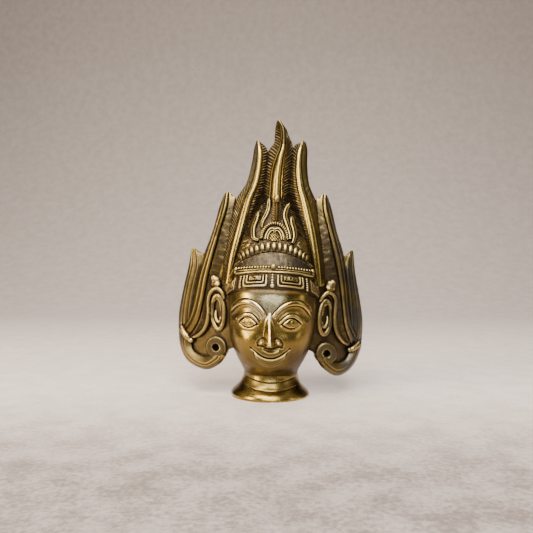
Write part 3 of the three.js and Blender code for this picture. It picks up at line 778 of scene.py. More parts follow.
def band_panel(run, up, height, dark, centre, outer, inner):
    """Adds a jewelled panel: two U-shaped frames round a plate with a ring and small pits."""
    a = np.abs(run - centre)
    outer_line = [(0, 2.5), (outer - 1.6, 2.5), (outer - 0.4, 2.9), (outer, 4.1), (outer, 9.9)]
    inner_line = [(0, 4.8), (inner - 0.9, 4.8), (inner, 5.6), (inner, 9.9)]
    height, dark = with_bar(height, dark, distance(a, up, outer_line), 1.0, 1.5)
    height, dark = with_bar(height, dark, distance(a, up, inner_line), 0.85, 1.4)
    plate = smooth((up - 6.2) / 0.4) * smooth((9.8 - up) / 0.4) * smooth((inner - 1.3 - a) / 0.4)
    height = np.maximum(height, band_ground + 0.8 * plate)
    dark = dark * (1 - 0.8 * plate)
    ring_radius, ring_height = 1.25, 8.1
    ring = np.abs(np.hypot(run - centre, up - ring_height) - ring_radius)
    height, dark = with_bar(height, dark, ring, 0.5, 1.35)
    pits = [(0, ring_height, 0.55), (-3.1, 7.4, 0.36), (-2.6, 9.1, 0.36), (3.2, 7.2, 0.36), (2.7, 9.2, 0.36)]
    for x, z, wide in pits:
        pit = bell(np.hypot(run - centre - x, up - z), wide)
        height, dark = height - 0.5 * pit, np.maximum(dark, 0.9 * pit)
    return height, dark


def band_relief(run, up):
    height, dark = np.full_like(run, band_ground), np.full_like(run, 1.0)
    for centre, outer, inner in ((-13.0, 8.4, 6.1), (12.9, 9.2, 6.9)):
        height, dark = band_panel(run, up, height, dark, centre, outer, inner)
    a = np.abs(run)
    slant = up + 0.12 * (a - 29)
    for inset in (0, 2.0, 3.9):
        start, end, low, high = 30.4 + inset, 42 - inset, 2.4 + inset * 0.8, 9.8 - 0.5 * inset
        box = [(start, high), (start, low), (end, low), (end, high)]
        height, dark = with_bar(height, dark, distance(a, slant, box), 0.75, 1.1)
    return height, dark


def band():
    """The jewelled band, from one end of its front to the other."""
    reach = 43.2
    run, up = np.meshgrid(np.linspace(-reach, reach, 206), np.linspace(0, 12.1, 29), indexing="ij")
    height, dark = band_relief(run, up)
    return panel(1, on_band, run, up, height, 1.5, dark, 0.8, 0.3, 0.3)


def band_beads():
    """Pendant at the middle, and strings of small beads beside the panels."""
    pendant = [(-0.3, 10, 1.15), (-0.3, 8.2, 1.25), (-0.3, 6.3, 1.3), (-0.3, 4.4, 1.3), (-0.3, 2.4, 1.75)]
    strings = [[(run, top - 1.5 * k, radius) for k in range(6)]
               for run, top, radius in ((-24.6, 9.8, 1.15), (26, 9.6, 1.2))]
    return alternate([[bead(on_band, run, up, radius, 1.0, rings=6, faces=9) for run, up, radius in beads]
                      for beads in [pendant] + strings])


def bead_row():
    """Row of small beads over the band, with a large bead at its middle and at each end."""
    middle, reach, count = 1.1, 27.6, 12
    rows = [[middle + side * (3.6 + (reach - 5.6) * k / (count - 1)) for k in range(count)] for side in sides]
    small = [[bead(on_head, x, bead_line(x) + 0.3, 1.05, 0.7, rings=6, faces=8) for x in row] for row in rows]
    ends = [bead(on_head, middle + side * reach, bead_line(reach) + 0.1, 1.8, 0.9) for side in sides]
    centre = bead(on_head, middle - 0.4, bead_line(0) + 0.6, 2.1, 1.3, rings=9, faces=14)
    knobs = [bead(on_head, middle + side * (reach + 0.6), bead_line(reach) - 2.2, 1.3, 0.7) for side in sides]
    return alternate(small) + [joined(ends + [centre]), joined(knobs)]


def bead_seat():
    """The two rods under the row of small beads."""
    shells = []
    for below, radius, height in ((1.35, 0.85, 0.5), (3.15, 1.15, 0.6)):
        rod = [(x, bead_line(x) - below, height) for x in np.linspace(-27, 29.4, 11)]
        shells.append(cord(1, on_head, rod, radius, 76, faces=10, taper=0.25))
    return shells


def cap_lines():
    """The two fine lines along the cap's upper edge."""
    upper = [(x, cap_edge(x), 0.15) for x in np.linspace(-28.4, 29.6, 11)]
    lower = [(x, cap_edge(x) - 1.3, 0.0) for x in np.linspace(-27.6, 28.8, 11)]
    return [cord(1, on_head, upper, 0.6, 76, faces=8), cord(1, on_head, lower, 0.3, 76, faces=6, dark=0.1)]


def petal(share, faces=12):
    """One rounded petal over the cap's edge, at a share from -1 to 1 of the row."""
    levels = [(0.0, 1.6, 1.4), (0.25, 1.8, 2.3), (0.55, 1.9, 2.9), (0.8, 1.9, 3.1), (0.93, 1.55, 2.9),
              (1.0, 0.8, 2.0)]
    # Painted shade at each petal's root, darkest at its foot.
    root_shade = np.array([0.95, 0.75, 0.35, 0, 0, 0])
    half_span, crowding = 25.6, 1.12
    x0 = 0.6 + half_span * math.sin(share * crowding) / math.sin(crowding)
    foot = cap_edge(x0) + 0.1
    size = 1 - 0.22 * share * share
    fan_out = (2.2 if share < 0 else 0.8) * share
    turn = round_turns(faces)
    outside = np.sin(turn) > 0
    rings = []
    for up, half, tall in levels:
        wide = np.sign(np.cos(turn)) * np.abs(np.cos(turn)) ** 0.8 * half * size
        high = np.where(outside, np.sin(turn) * tall * 0.55 + tall * 0.35, -2)
        rings.append(on_crown(x0 + fan_out * up + wide, np.full(faces, foot + 6.8 * size * up), high))
    # The sides and backs of the petals are painted dark: painted shade in the gaps between them.
    return loft(rings, np.maximum(np.where(np.sin(turn) > 0.2, 0.1, 1.0), root_shade[:, None] * outside))


def petals():
    """Row of rounded petals that stands over the cap's edge and fans out to its left side."""
    count = 15
    return alternate([[petal((2 * k + 1) / count - 1) for k in range(count)]])


# Ornament on the front of the crown
def arches():
    """A twisted rope round the crown's ornament, and two plain arches inside it that dip at their tops."""
    twist_pitch, x, z = 1.75, 0.6, 121.2

    def twist(length, turn):
        return np.cos(2 * math.pi * length / twist_pitch + 1.2 * turn)

    def rope(length, turn):
        return 0.26 * twist(length, turn)

    def rope_dark(length, turn):
        return 0.9 * (0.5 - 0.5 * twist(length, turn)) ** 1.5

    outer = [(x + 9.9 * math.cos(t), z + 12.4 * math.sin(t), 1.0) for t in np.linspace(math.pi, 0, 9)]
    shells = [cord(1, on_crown, outer, 1.4, 120, faces=12, wave=rope, dark=rope_dark)]
    for wide, high, radius in ((6.9, 9.5, 0.75), (5.2, 7.6, 0.5)):
        inner = []
        for t in np.linspace(math.pi, 0, 13):
            dip = 1.6 * math.exp(-((t - math.pi / 2) / 0.26) ** 2)
            inner.append((x + wide * math.cos(t), z + high * math.sin(t) - dip, 0.9))
        shells.append(cord(1, on_crown, inner, radius, 60, faces=8))
    return shells


def core():
    """Rounded plate inside the arch, cut with slanting lines."""
    rows, columns = 40, np.linspace(0, 2, 34)
    rails = [[(-4.4, 120.2), (-4.2, 124.6), (-0.9, 128)],
             [(0.6, 120, 1.7), (0.6, 124.6, 2.4), (0.6, 127.4, 1.8)],
             [(5.6, 120.2), (5.4, 124.6), (2.1, 128)]]
    a, b = np.meshgrid(np.linspace(0, 8, rows), np.linspace(0, 9.6, len(columns)), indexing="ij")
    cut = np.maximum(bell((a + b) % 1.9 - 0.95, 0.38), 0.6 * bell((a - b) % 2.6 - 1.3, 0.3))
    return strip(1, on_crown, rails, rows, columns, bulge=-0.6 * cut, sunk=2, dark=np.clip(1.1 * cut, 0, 1))


def curl(side, spine, half, tall, rows=34, depth=5.0):
    """A flame of hair: a ribbon with two ridges, round at its tip."""
    columns = 13
    line = through(spine, shares(rows))[:, :2]
    run = unit(np.gradient(line, axis=0))
    share = shares(rows)
    tip = np.sqrt(np.clip(1 - ((share - 0.88) / 0.125).clip(0) ** 2, 0.06, 1))
    width = half * (0.62 + 0.38 * smooth(share / 0.35)) * tip
    across = np.linspace(-1, 1, columns)
    x = line[:, :1] + width[:, None] * across * run[:, 1:2]
    z = line[:, 1:] - width[:, None] * across * run[:, :1]
    groove = bell(across - 0.12, 0.17)
    height = tall * (1 - 0.6 * np.abs(across) ** 3) - 0.8 * groove * smooth((0.95 - share[:, None]) / 0.1)
    height = height * (1 - 0.25 * smooth((share - 0.9) / 0.1))[:, None]
    tone = np.maximum(groove, 0.8 * (np.abs(across) > 0.95))
    return panel(side, on_crown, x, z, height, depth, tone, 1.0)


def curls():
    """Two flames of hair on each side of the arch."""
    spines = [
        (1, [[14.2, 118.8], [15.8, 124], [15.2, 129.6], [13.8, 134], [13.2, 139.4]], 2.2),
        (1, [[12.6, 122], [11.8, 128], [9.8, 134], [8, 139.4], [8.6, 144], [11, 149.4]], 2.2),
        (-1, [[11.4, 120.6], [15, 122.2], [16, 127], [15.6, 131.6], [14, 136.4], [12.6, 142.6]], 2.15),
        (-1, [[9.6, 130.6], [8.6, 136], [6.4, 140.4], [4.9, 145.4], [4.7, 153]], 2.0),
    ]
    return [curl(side, spine, half, 3.2) for side, spine, half in spines]


def stem():
    """Upright stem with a hatched wing on each side and a bud at its top."""
    rows, columns = 54, np.array([0, 0.5, 0.86, 1.0, 1.5, 2, 2.5, 3.0, 3.14, 3.5, 4])
    rails = [[(-2, 134, 0.6), (-2.4, 144, 2), (-0.8, 154, 3)],
             [(0.5, 134, 1.2), (0.5, 144, 3), (0.6, 154, 4.2)],
             [(1.5, 134, 2.8), (1.5, 144, 4.4), (1.5, 154, 5.6)],
             [(2.5, 134, 1.2), (2.5, 144, 3), (2.4, 154, 4.2)],
             [(5.2, 134, 0.6), (5.4, 144, 2), (3.8, 154, 3)]]
    up, across = np.meshgrid(np.linspace(0, 20, rows), np.abs(columns - 2), indexing="ij")
    wing = smooth((across - 1) / 0.1)
    cut = wing * (0.5 + 0.5 * np.cos(2 * math.pi * (up - 1.3 * across) / 1.9)) ** 2
    tone = np.maximum(np.maximum(cut, bell(across - 1.05, 0.12)), 0.1 * wing)
    wings = strip(1, on_crown, rails, rows, columns, bulge=-0.6 * cut, sunk=6, dark=tone)
    bud = loft(unit_ball(9, 12) * (2.1, 2.2, 3.0) + on_crown(1.4, 152.6, 4.9))
    return [wings, bud]


# Hair
def barb_rows(barbs, side, columns, run, across, height):
    """Where a lock's mesh rows lie along its spine, how much each is in a cut, and how far the rows shift
    beside the spine so that they follow the cuts."""
    pitch, first, last, rise_before, rise_after = barbs
    starts = [0.0]
    while starts[-1] < run[-1] - 0.5 * pitch:
        starts.append(starts[-1] + pitch * (1 + 0.15 * math.sin(2.4 * len(starts) + side)))
    starts = np.array(starts) * run[-1] / starts[-1]
    quarters = np.array([0, 0.25, 0.5, 0.75])
    places = (starts[:-1, None] + np.diff(starts)[:, None] * quarters).ravel()[1:]
    places = np.concatenate([[0], places, [run[-1]]])
    cut = np.concatenate([[0], np.tile([1, 0.5, 0, 0.5], len(starts) - 1)[1:], [1]])
    before = (across[:, [np.abs(columns - first).argmin()]] - across).clip(0)
    after = (across - across[:, [np.abs(columns - last).argmin()]]).clip(0)
    shift = sum(rise(height) * away * (1 - 0.3 * away / (away.max(axis=1, keepdims=True) + 0.1))
                for rise, away in ((rise_before, before), (rise_after, after)))
    return places, cut, shift * smooth(run / 6)[:, None] * smooth((run[-1] - run) / 12)[:, None]


def lock(side, rails, columns, relief, step=1.1, dull=0.0, barbs=None, place=on_fan, deep=8.0):
    """A lock of hair between rails that run down from its tip. Barbs give the pitch of its cuts, the two
    places across it where they start, and their rise on either side: the mesh rows then follow the cuts."""
    columns = np.asarray(columns, float)
    fine = shares(400)
    mesh = woven(rails, columns, fine)
    run = run_along(mesh[:, np.abs(columns - columns.mean()).argmin(), :2])
    gaps = np.diff(mesh[..., :2], axis=1, prepend=mesh[:, :1, :2])
    across = np.cumsum(np.linalg.norm(gaps, axis=2), axis=1)
    if barbs:
        places, cut, shift = barb_rows(barbs, side, columns, run, across, mesh[..., 1])
        dull = np.maximum(dull, 0.35 * ((columns < barbs[1]) | (columns > barbs[2])))
    else:
        places = np.linspace(0, run[-1], int(run[-1] / step) + 1)
        cut, shift = np.zeros(len(places)), np.zeros_like(across)
    share = np.empty((len(places), len(columns)))
    x, z, height, width = (np.empty_like(share) for _ in range(4))
    for j in range(len(columns)):
        share[:, j] = np.interp(places - np.interp(places, run, shift[:, j]), run, fine)
        share[:, j] = np.maximum.accumulate(share[:, j] + 1e-6 * np.arange(len(places)))
        x[:, j], z[:, j], height[:, j] = (np.interp(share[:, j], fine, mesh[:, j, k]) for k in range(3))
        width[:, j] = np.interp(share[:, j], fine, across[:, j])
    extra, dark = relief(np.broadcast_to(columns, x.shape), cut[:, None], z)
    edge = np.minimum(width, width[:, -1:] - width)
    rim = 0.7 * bell(edge, 0.5) * smooth(width[:, -1:] / 6)
    height = height + extra * np.minimum(1, width[:, -1:] / 7) - rim
    ends = np.linspace(len(columns) - 1, 0, 4).astype(int)
    return panel(side, place, x, z, height, deep, np.clip(dark, 0, 1), 0.5, dull, 0.5, ends)


def always(value):
    """A rise that is the same at every height."""
    return lambda z: value


def ridged(w, ridges, grooves):
    """Rounded ridges (centre, half width, height) and grooves (centre, half width, depth) across a lock."""
    height, dark = np.zeros_like(w), np.zeros_like(w)
    for centre, half, tall in ridges:
        height = height + tall * dome(w - centre, half)
    for centre, half, depth in grooves:
        cut = bell(w - centre, half)
        height, dark = height - depth * cut, np.maximum(dark, cut)
    return height, dark


def barbed(w, cut, first, last, height, dark, strength=1.0):
    """Adds the slanting cuts beyond a lock's ridge, as deep and dark as its mesh rows say."""
    zone = np.maximum(smooth((first - w) / 0.06), smooth((w - last) / 0.06)) * strength
    return height - 0.9 * cut * zone, np.maximum(dark, zone * (0.05 + 0.85 * cut))


def flank_relief(w, cut, z, strength=1.0):
    height, dark = ridged(w, [(1.5, 0.64, 1.55)], [(0.84, 0.05, 0.5), (2.18, 0.07, 0.5)])
    return barbed(w, cut, 0.84, 2.2, height, dark, strength)


def worn_flank_relief(w, cut, z):
    """The flank flame on the viewer's right is rubbed smooth at its outer edge, near its tip."""
    return flank_relief(w, cut, z, np.maximum(w > 1, 0.15 + 0.5 * smooth((182 - z) / 12)))


def middle_relief(w, cut, z):
    ridges = [(0.98, 0.13, 0.7), (2.0, 0.62, 1.3), (2.93, 0.12, 0.6)]
    grooves = [(0.83, 0.03, 0.4), (1.2, 0.06, 0.6), (2.74, 0.045, 0.5), (3.1, 0.04, 0.4)]
    height, dark = ridged(w, ridges, grooves)
    return barbed(w, cut, 0.84, 3.1, height, dark)


def crown_hatch_relief(w, cut, z):
    height, dark = barbed(w, cut, -1, 0.1, np.zeros_like(w), np.zeros_like(w))
    return height, np.maximum(dark, 0.15)


def side_relief(w, cut, z):
    height, dark = ridged(w, [(0.95, 0.42, 0.5), (2.0, 0.62, 1.7)], [(1.4, 0.06, 0.45), (2.7, 0.07, 0.45)])
    ground = smooth((w - 2.75) / 0.25) * smooth((158 - z) / 10)
    uneven = ripple(w * 9, z, 4, 6) + ripple(w * 5, z, 11, 9)
    return height + 0.3 * ground * uneven, np.maximum(dark * 0.8, ground * (0.6 + 0.15 * uneven))


def outer_relief(w, cut, z):
    height, dark = ridged(w, [(1, 0.42, 0.35), (3, 0.4, 0.35)], [(1.5, 0.08, 0.3), (2.5, 0.08, 0.3)])
    return height, np.maximum(dark * 0.5, 0.22)


def roll_relief(w, cut, z):
    grooves = [(0.55, 0.07, 0.25), (1.0, 0.07, 0.25), (1.5, 0.08, 0.3), (2.05, 0.08, 0.35)]
    height, dark = ridged(w, [(0.8, 0.25, 0.2), (1.25, 0.25, 0.25), (1.8, 0.25, 0.25)], grooves)
    return height, np.maximum(dark * 0.55, 0.18)


def middle_flame():
    """The tallest lock, which stands upright at the middle."""
    columns = [0, 0.07, 0.35, 0.68, 0.8, 0.86, 0.93, 1.0, 1.07, 1.14, 1.2, 1.26, 1.34, 1.45, 1.65, 1.9, 2.15,
               2.4, 2.56, 2.66, 2.74, 2.82, 2.93, 3.04, 3.1, 3.17, 3.3, 3.6, 3.93, 4]
    return lock(1, [
        [(-3.7, 214.4), (-4.5, 209.5), (-4.7, 204), (-5.1, 198), (-8.4, 193.2), (-10.8, 186), (-11, 174),
         (-12, 150), (-20, 108)],
        [(-3, 215.9, 1.4), (0, 209.5, 3), (0.7, 203.5, 3.8), (0.6, 198, 4.4), (-0.3, 192.5, 4.7),
         (-2.2, 186, 4.9), (-4.5, 174, 5), (-4.4, 150, 4.2), (-6, 108, 3)],
        [(-1.8, tip_height - 0.6, 1.6), (1.6, 209.5, 3.6), (2.4, 203.5, 4.6), (2.5, 198, 5.3),
         (2, 192.5, 5.6), (0.7, 186, 5.8), (-0.1, 174, 6), (0.8, 150, 4.8), (1, 108, 3)],
        [(-0.5, 215.7, 1.4), (3.1, 209.5, 2.8), (4.2, 203.5, 3.6), (4.5, 198, 4.2), (4.4, 192.5, 4.5),
         (3.7, 186, 4.7), (3.8, 174, 5), (5.4, 150, 4.2), (8, 108, 3)],
        [(0.7, 214.6), (4.2, 210), (6.2, 205), (8.2, 200.8), (9.8, 196.5), (10.9, 188), (11, 174),
         (12.4, 150), (21, 108)],
    ], columns, middle_relief, barbs=(2.2, 0.82, 3.12, always(0.8), always(0.95)))


def flank_flame(side):
    """The lock beside the middle one: a ridge with slanting cuts on both sides of it."""
    columns = [0, 0.08, 0.3, 0.55, 0.78, 0.86, 0.92, 0.99, 1.1, 1.25, 1.5, 1.75, 1.9, 2.0, 2.07, 2.14,
               2.24, 2.44, 2.68, 2.94, 3]
    stations = [199.4, 193, 181, 166, 151, 130, 108, 88]
    outer = [19.2, 20.8, 21.7, 25.4, 32.4, 36.4, 39.6, 41.6]
    ridge = [17.9, 16.2, 15.8, 18.2, 22.8, 28.7, 33, 35.8]
    inner = [16.6, 10.4, 8.2, 8.2, 8.8, 12.6, 20, 28]
    half = [0.5, 1.4, 1.6, 1.8, 1.9, 2.1, 2.1, 1.8]
    tall = [1, 3.6, 4.6, 5.2, 5.6, 6, 6, 5]
    if side > 0:
        outer[:3] = [20, 21.4, 22.2]
        nudge = [-0.4, -0.7, -0.4, 0.1, 0.7, 0.2, 0, 0]
        second_height, relief = 195.4, worn_flank_relief
    else:
        outer[3:5] = [24, 31.6]
        nudge = [0, 0, 0, -1.2, -1.0, -2.0, -1.3, -1]
        second_height, relief = 193.2, flank_relief
    inner_heights = [stations[0], second_height] + stations[2:]

    def ridge_edge(hand, drop):
        heights = [stations[0] + 1] + [z - drop for z in stations[1:]]
        return [(x + n + hand * h, z, t) for x, n, h, z, t in zip(ridge, nudge, half, heights, tall)]

    rails = [list(zip(outer, stations)), ridge_edge(1, 0.8), ridge_edge(-1, 1.6),
             list(zip(inner, inner_heights))]
    return lock(side, rails, columns, relief, barbs=(
        2.2, 0.88, 2.16,
        lambda z: 1.0 + 0.6 * smooth((185 - z) / 20),
        lambda z: 0.25 + 0.35 * smooth((165 - z) / 30),
    ))


def crown_hatch(side):
    """Slanting cuts between the flank flame's ridge and the ornament on the crown."""
    columns = [0, 0.05, 0.15, 0.3, 0.45, 0.6, 0.75, 0.9, 1]
    rails = [[(13.5, 158, -3), (18.6, 149, -0.6), (23, 136, 0.9), (26.5, 122, 1), (29, 108, 0.6)],
             [(2.6, 160, -1.5), (4.4, 149, 0.6), (9, 137, 0.6), (15, 125, 0.6), (19.5, 110, 0.2)]]
    return lock(side, rails, columns, crown_hatch_relief, place=on_crown, deep=3.0,
                barbs=(2.0, -1, 0, always(0.0), always(0.75)))


def side_flame(side):
    """The long lock that runs down beside the face to the shoulder of the hair."""
    columns = [0, 0.1, 0.3, 0.5, 0.65, 0.8, 0.95, 1.12, 1.26, 1.34, 1.4, 1.47, 1.6, 1.8, 2.0, 2.2, 2.4,
               2.54, 2.63, 2.7, 2.78, 2.95, 3.2, 3.5, 3.75, 3.95, 4]
    return lock(side, [
        [(41.3, 156.3), (44.6, 147), (49.2, 129), (55.4, 111), (60.4, 92), (63.6, 74), (66, 60),
         (72.4, 51.5)],
        [(39.9, 158, 1.4), (42.6, 146, 3), (47, 129, 3.8), (52.9, 109, 4.2), (57.4, 90, 4.2),
         (60.4, 72, 4), (63.4, 59.6, 3.8), (69, 48.4, 3)],
        [(38.3, 158.6, 2), (39.5, 146, 3.8), (44.2, 128, 4.4), (49.6, 108, 4.6), (53.6, 90, 4.6),
         (56.4, 72, 4.4), (59.6, 58, 4), (66, 44.6, 2.4)],
        [(36.2, 158.3, 1.4), (36.6, 145, 2.4), (41.4, 127, 2.8), (46.4, 106, 3), (50.4, 89, 3),
         (53.4, 71, 2.8), (56.4, 55, 2.6), (63.6, 41, 2)],
        [(34.4, 156.6), (31.2, 152), (34, 126), (37.2, 105), (42.4, 88), (48, 71), (51.6, 54), (61.6, 38.6)],
    ], columns, side_relief, dull=0.45)


def outer_flame(side):
    """The short lock at the very side."""
    return lock(side, [
        [(65.4, 112.8), (67.3, 99), (71.4, 81), (74.8, 63), (75.3, 51), (74.4, 41)],
        [(64.6, 114.6, 1.2), (65, 99, 2.8), (68.6, 81, 3.4), (71.6, 63, 3.6), (72, 51, 3.4), (70.6, 41, 2.4)],
        [(63.2, 115.2, 1.2), (62.4, 99, 1.8), (65.8, 81, 2.2), (68.4, 63, 2.4), (68.6, 51, 2.2),
         (66.6, 41, 1.8)],
        [(61.7, 114.4, 1.2), (59.6, 101, 2.6), (63, 81, 3.2), (65.2, 63, 3.2), (65.4, 51, 3), (63, 41, 2.2)],
        [(60.6, 112.9), (55, 107.2), (57.8, 83), (61, 63), (61.4, 51), (59, 41)],
    ], np.linspace(0, 4, 25), outer_relief, step=1.2, dull=0.75)


def cut_drop(side):
    """How low the slanting cut across the roll of hair sits: lower on the viewer's right."""
    return 3.2 + 3.2 * side


def cut_edge(side):
    """Where the roll of hair ends in a slanting cut."""
    drop = cut_drop(side)
    return [(73.8, 51.6 - drop, 2.6), (70.4, 48.2 - drop, 4.6), (66.6, 43.8 - 0.7 * drop, 5.2),
            (62.9, 39.8 - 0.3 * drop, 2.8)]


def hair_roll(side):
    """The roll that the side hair ends in: it wraps under the ear disc and stops at a slanting cut."""
    start = cut_edge(side)
    return lock(side, [
        [(75.2, 52 - cut_drop(side)), (73.6, 35), (66, 22.2), (52, 17.2), (40.4, 23.2), (34.6, 31)],
        [start[1], (71.4, 35.4, 4.6), (64.4, 24.2, 5), (52.2, 19.6, 5), (42, 25, 4.2), (37, 31.4, 2.6)],
        [start[2], (67, 34.6, 6), (61.4, 27, 6.4), (52.4, 23.6, 6.4), (45, 28, 5.4), (41, 33, 3)],
        [start[3], (61.6, 33.2, 2.6), (58, 29.8, 2.6), (52.6, 28.2, 2.6), (48.4, 30.6, 2.4), (45, 35, 2)],
    ], np.linspace(0, 3, 25), roll_relief, dull=0.7)


def side_plate(side):
    """Thin plate that joins the side locks behind the ears."""
    low, high = 18.6, 105
    inner = profile([[low, 50], [22, 44.2], [28, 37.4], [36, 32.4], [37.5, 27], [54, 27], [high, 27]])
    outer = profile([
        [low, 56.5], [22, 64.6], [28, 70.2], [36, 73], [54, 74.2], [76, 71.4], [96, 66], [high, 58],
    ])
    z = np.concatenate([np.arange(low, high, 2.2), [high]])[:, None]
    x = inner(z) + (outer(z) - inner(z)) * shares(24)
    z = np.broadcast_to(z, x.shape)
    grain = ripple(x, z, 6, 5)
    height, dark = 0.4 + 0.15 * grain, 0.58 + 0.1 * grain
    return panel(side, on_fan, x, z, height, 2 * fan_thickness, dark, 0.5, 0.3, 0.3)


def behind_hair():
    """Everything behind the hair's smooth back, which is a little uneven as cast metal is."""
    reach, far = 84, 70
    z, x = np.meshgrid(np.linspace(8, tip_height + 8, 62), np.linspace(-reach, reach, 50), indexing="ij")
    uneven = 0.3 * ripple(x, z, 2, 26) + 0.18 * ripple(x, z, 7, 9)
    ends = [stack(side * reach, far, z[:, :1]) for side in sides]
    return loft(np.concatenate([on_fan(x, z, -fan_thickness + uneven)] + ends, axis=1), 0.45, 0.45)


# Ears
def ear_loop(side):
    """The ear's outer rim, a long closed loop."""
    middle, half, low = (42, 5.0, 64) if side < 0 else (40.8, 4.5, 62.8)
    knots = []
    for turn in np.linspace(0, 2 * math.pi, 12, endpoint=False):
        up = 13 * math.sin(turn)
        knots.append((middle + half * math.cos(turn) + 0.05 * up, low + up, 1.3))
    return cord(side, on_fan, knots, 2.0, 64, faces=11, closed=True, flat=0.9)


def ear_inside(side):
    """The folds inside the loop: one under its top and a small curl that lies low in it."""
    fold = [(44.4, 73, 0.6), (43, 74.6, 1.2), (40.8, 73, 1.3), (39.8, 69, 1.0), (39.8, 65, 0.6)]
    low = [(44, 65.4, 0.8), (44, 60.6, 1.4), (42.2, 57, 1.8), (40.2, 57.4, 1.6), (39.8, 60.8, 1.2)]
    shift = 0 if side < 0 else -1.2
    paths = [[(x + shift, z + shift, height) for x, z, height in path] for path in (fold, low)]
    return [cord(side, on_fan, path, 1.45, 24, faces=8, taper=0.5, dark=0.15) for path in paths]


def ear_arch(side):
    """The rolls that run over the ear and down beside it, and the worn knob above them."""
    shift = -1.5 if side > 0 else 0
    path = [(37.4, 75, 1.4), (39.2, 79.6, 2.4), (42.8, 82.4, 3), (46.4, 81.2, 3.2), (49.2, 77, 3.2),
            (50.2, 71, 3.2), (49.8, 64, 3.2), (50.6, 56.5, 3.2), (53, 49.8, 3.2), (57.2, 44.6, 3),
            (61.6, 41.8, 2.6)]
    path = [(x + shift * smooth((80 - z) / 8) * smooth((z - 40) / 6), z, height) for x, z, height in path]
    inner = [(38.6, 76, 1), (40.6, 79.2, 1.6), (43.4, 80.2, 1.8), (45.8, 78.2, 1.8), (47, 74, 1.6),
             (47.2, 68, 1.2)]
    inner = [(x + 0.5 * shift, z, height) for x, z, height in inner]
    # Where each lump of the knob is, how far out it stands, and its half width and half height
    knob = [(44.6, 87.2, 1.2, 4.2, 4.8), (43.2, 85.2, 1.3, 3.4, 3.2), (46.2, 89.6, 1, 3.2, 3.6)]
    lumps = [loft(unit_ball(9, 16) * (wide, 3.3, tall) + on_fan(side * x, z, out), 0, 0.4)
             for x, z, out, wide, tall in knob]
    return [cord(side, on_fan, path, 1.75, 76, faces=10, taper=0.35),
            cord(side, on_fan, inner, 0.8, 30, faces=8)] + lumps


def disc_centre(side):
    return 42.3, 36 - 0.7 * side


def ear_disc(side):
    """Round disc that hangs under the ear, with turned rings and a hole at its middle."""
    x, z = disc_centre(side)
    turn_out = math.radians(12) * side
    # At each radius, how far forward the disc's surface lies and how dark it is; the hole at the middle is
    # painted black, painted shade inside it.
    section = [
        (0.01, -3, 1), (0.01, -1.6, 1), (2.0, -1.4, 1), (2.4, 2.6, 1), (2.8, 3.7, 0.9), (3.3, 3.95, 0.1),
        (4.1, 4.0, 0.1), (4.6, 3.8, 0.4), (5.1, 4.0, 0.1), (5.7, 4.0, 0.1), (6.3, 3.85, 0.4),
        (6.8, 3.95, 0.1), (7.5, 3.85, 0.1), (8.1, 3.5, 0.2), (disc_radius - 0.3, 2.6, 0.5),
        (disc_radius - 0.2, -3, 0.8),
    ]
    radius, forward, tone = np.array(section).T[..., None]
    turn = round_turns(52)
    across = radius * np.cos(turn)
    c, s = math.cos(turn_out), math.sin(turn_out)
    y = fan_y(x, z) + across * s - forward * c
    return loft(stack(side * x + across * c + forward * s, y, z + radius * np.sin(turn)), tone, 0.85)


def ear_hole(side):
    """The blind hole at the middle of the ear disc."""
    x, z = disc_centre(side)
    turn = round_turns(28)
    rings = [on_fan(side * (x + radius * np.cos(turn)), z + radius * np.sin(turn), height)
             for radius, height in ((1.9, -2.4), (2.1, -2.0), (2.2, 3.2), (2.3, 8))]
    # The hole's walls are painted black: painted shade inside the hole.
    return loft(rings, 1.0)


def slant_cut(side):
    """Bright rounded edge of the slanting cut across the roll, with a bead at its inner end."""
    edge = [(x, z - 0.6, height + 0.1) for x, z, height in cut_edge(side)]
    edge[0] = (edge[0][0] - 1.6, edge[0][1] - 1.2, 2.6)
    x, z, height = edge[-1]
    rounded = cord(side, on_fan, edge, 2.2, 22, faces=12, taper=0.3)
    return [rounded, bead(on_fan, side * x, z + 0.4, 2.1, height + 0.9)]


# Mesh objects
def new_mesh(name, points, triangles, tones):
    """Mesh with a number for each tone at each of its points."""
    mesh = bpy.data.meshes.new(name)
    mesh.vertices.add(len(points))
    mesh.vertices.foreach_set("co", points.astype(np.float32).ravel())
    mesh.loops.add(triangles.size)
    mesh.loops.foreach_set("vertex_index", triangles.astype(np.int32).ravel())
    mesh.polygons.add(len(triangles))
    mesh.polygons.foreach_set("loop_start", np.arange(0, triangles.size, 3, dtype=np.int32))
    mesh.update(calc_edges=True)
    for tag, values in tones.items():
        mesh.attributes.new(tag, "FLOAT", "POINT").data.foreach_set("value", values.astype(np.float32))
    return mesh


def mesh_object(name, shell):
    """A closed skin as an object in metres; known marks the points that aren't made by joining skins."""
    points, triangles, dark, dull = shell
    tones = {"dark": dark, "dull": dull, "known": np.ones(len(points))}
    mesh = new_mesh(name, (points + frame_shift) * 0.001, triangles, tones)
    return bpy.data.objects.new(name, mesh)


def combine(base, shells, operation):
    """Adds or cuts away closed skins, and gives back the joined mesh object."""
    group = bpy.data.collections.new("parts_of_" + base.name)
    for k, shell in enumerate(shells):
        group.objects.link(mesh_object(f"part_{k}", shell))
    bpy.context.scene.collection.children.link(group)
    if base.name not in bpy.context.scene.collection.objects:
        bpy.context.scene.collection.objects.link(base)
    step = base.modifiers.new("combine", "BOOLEAN")
    step.operation = operation
    step.operand_type = "COLLECTION"
    step.collection = group
    step.solver = "MANIFOLD"
    mesh = bpy.data.meshes.new_from_object(base.evaluated_get(bpy.context.evaluated_depsgraph_get()))
    base.modifiers.clear()
    base.data = mesh
    for part in list(group.objects):
        bpy.data.objects.remove(part, do_unlink=True)
    bpy.data.collections.remove(group)
    return base


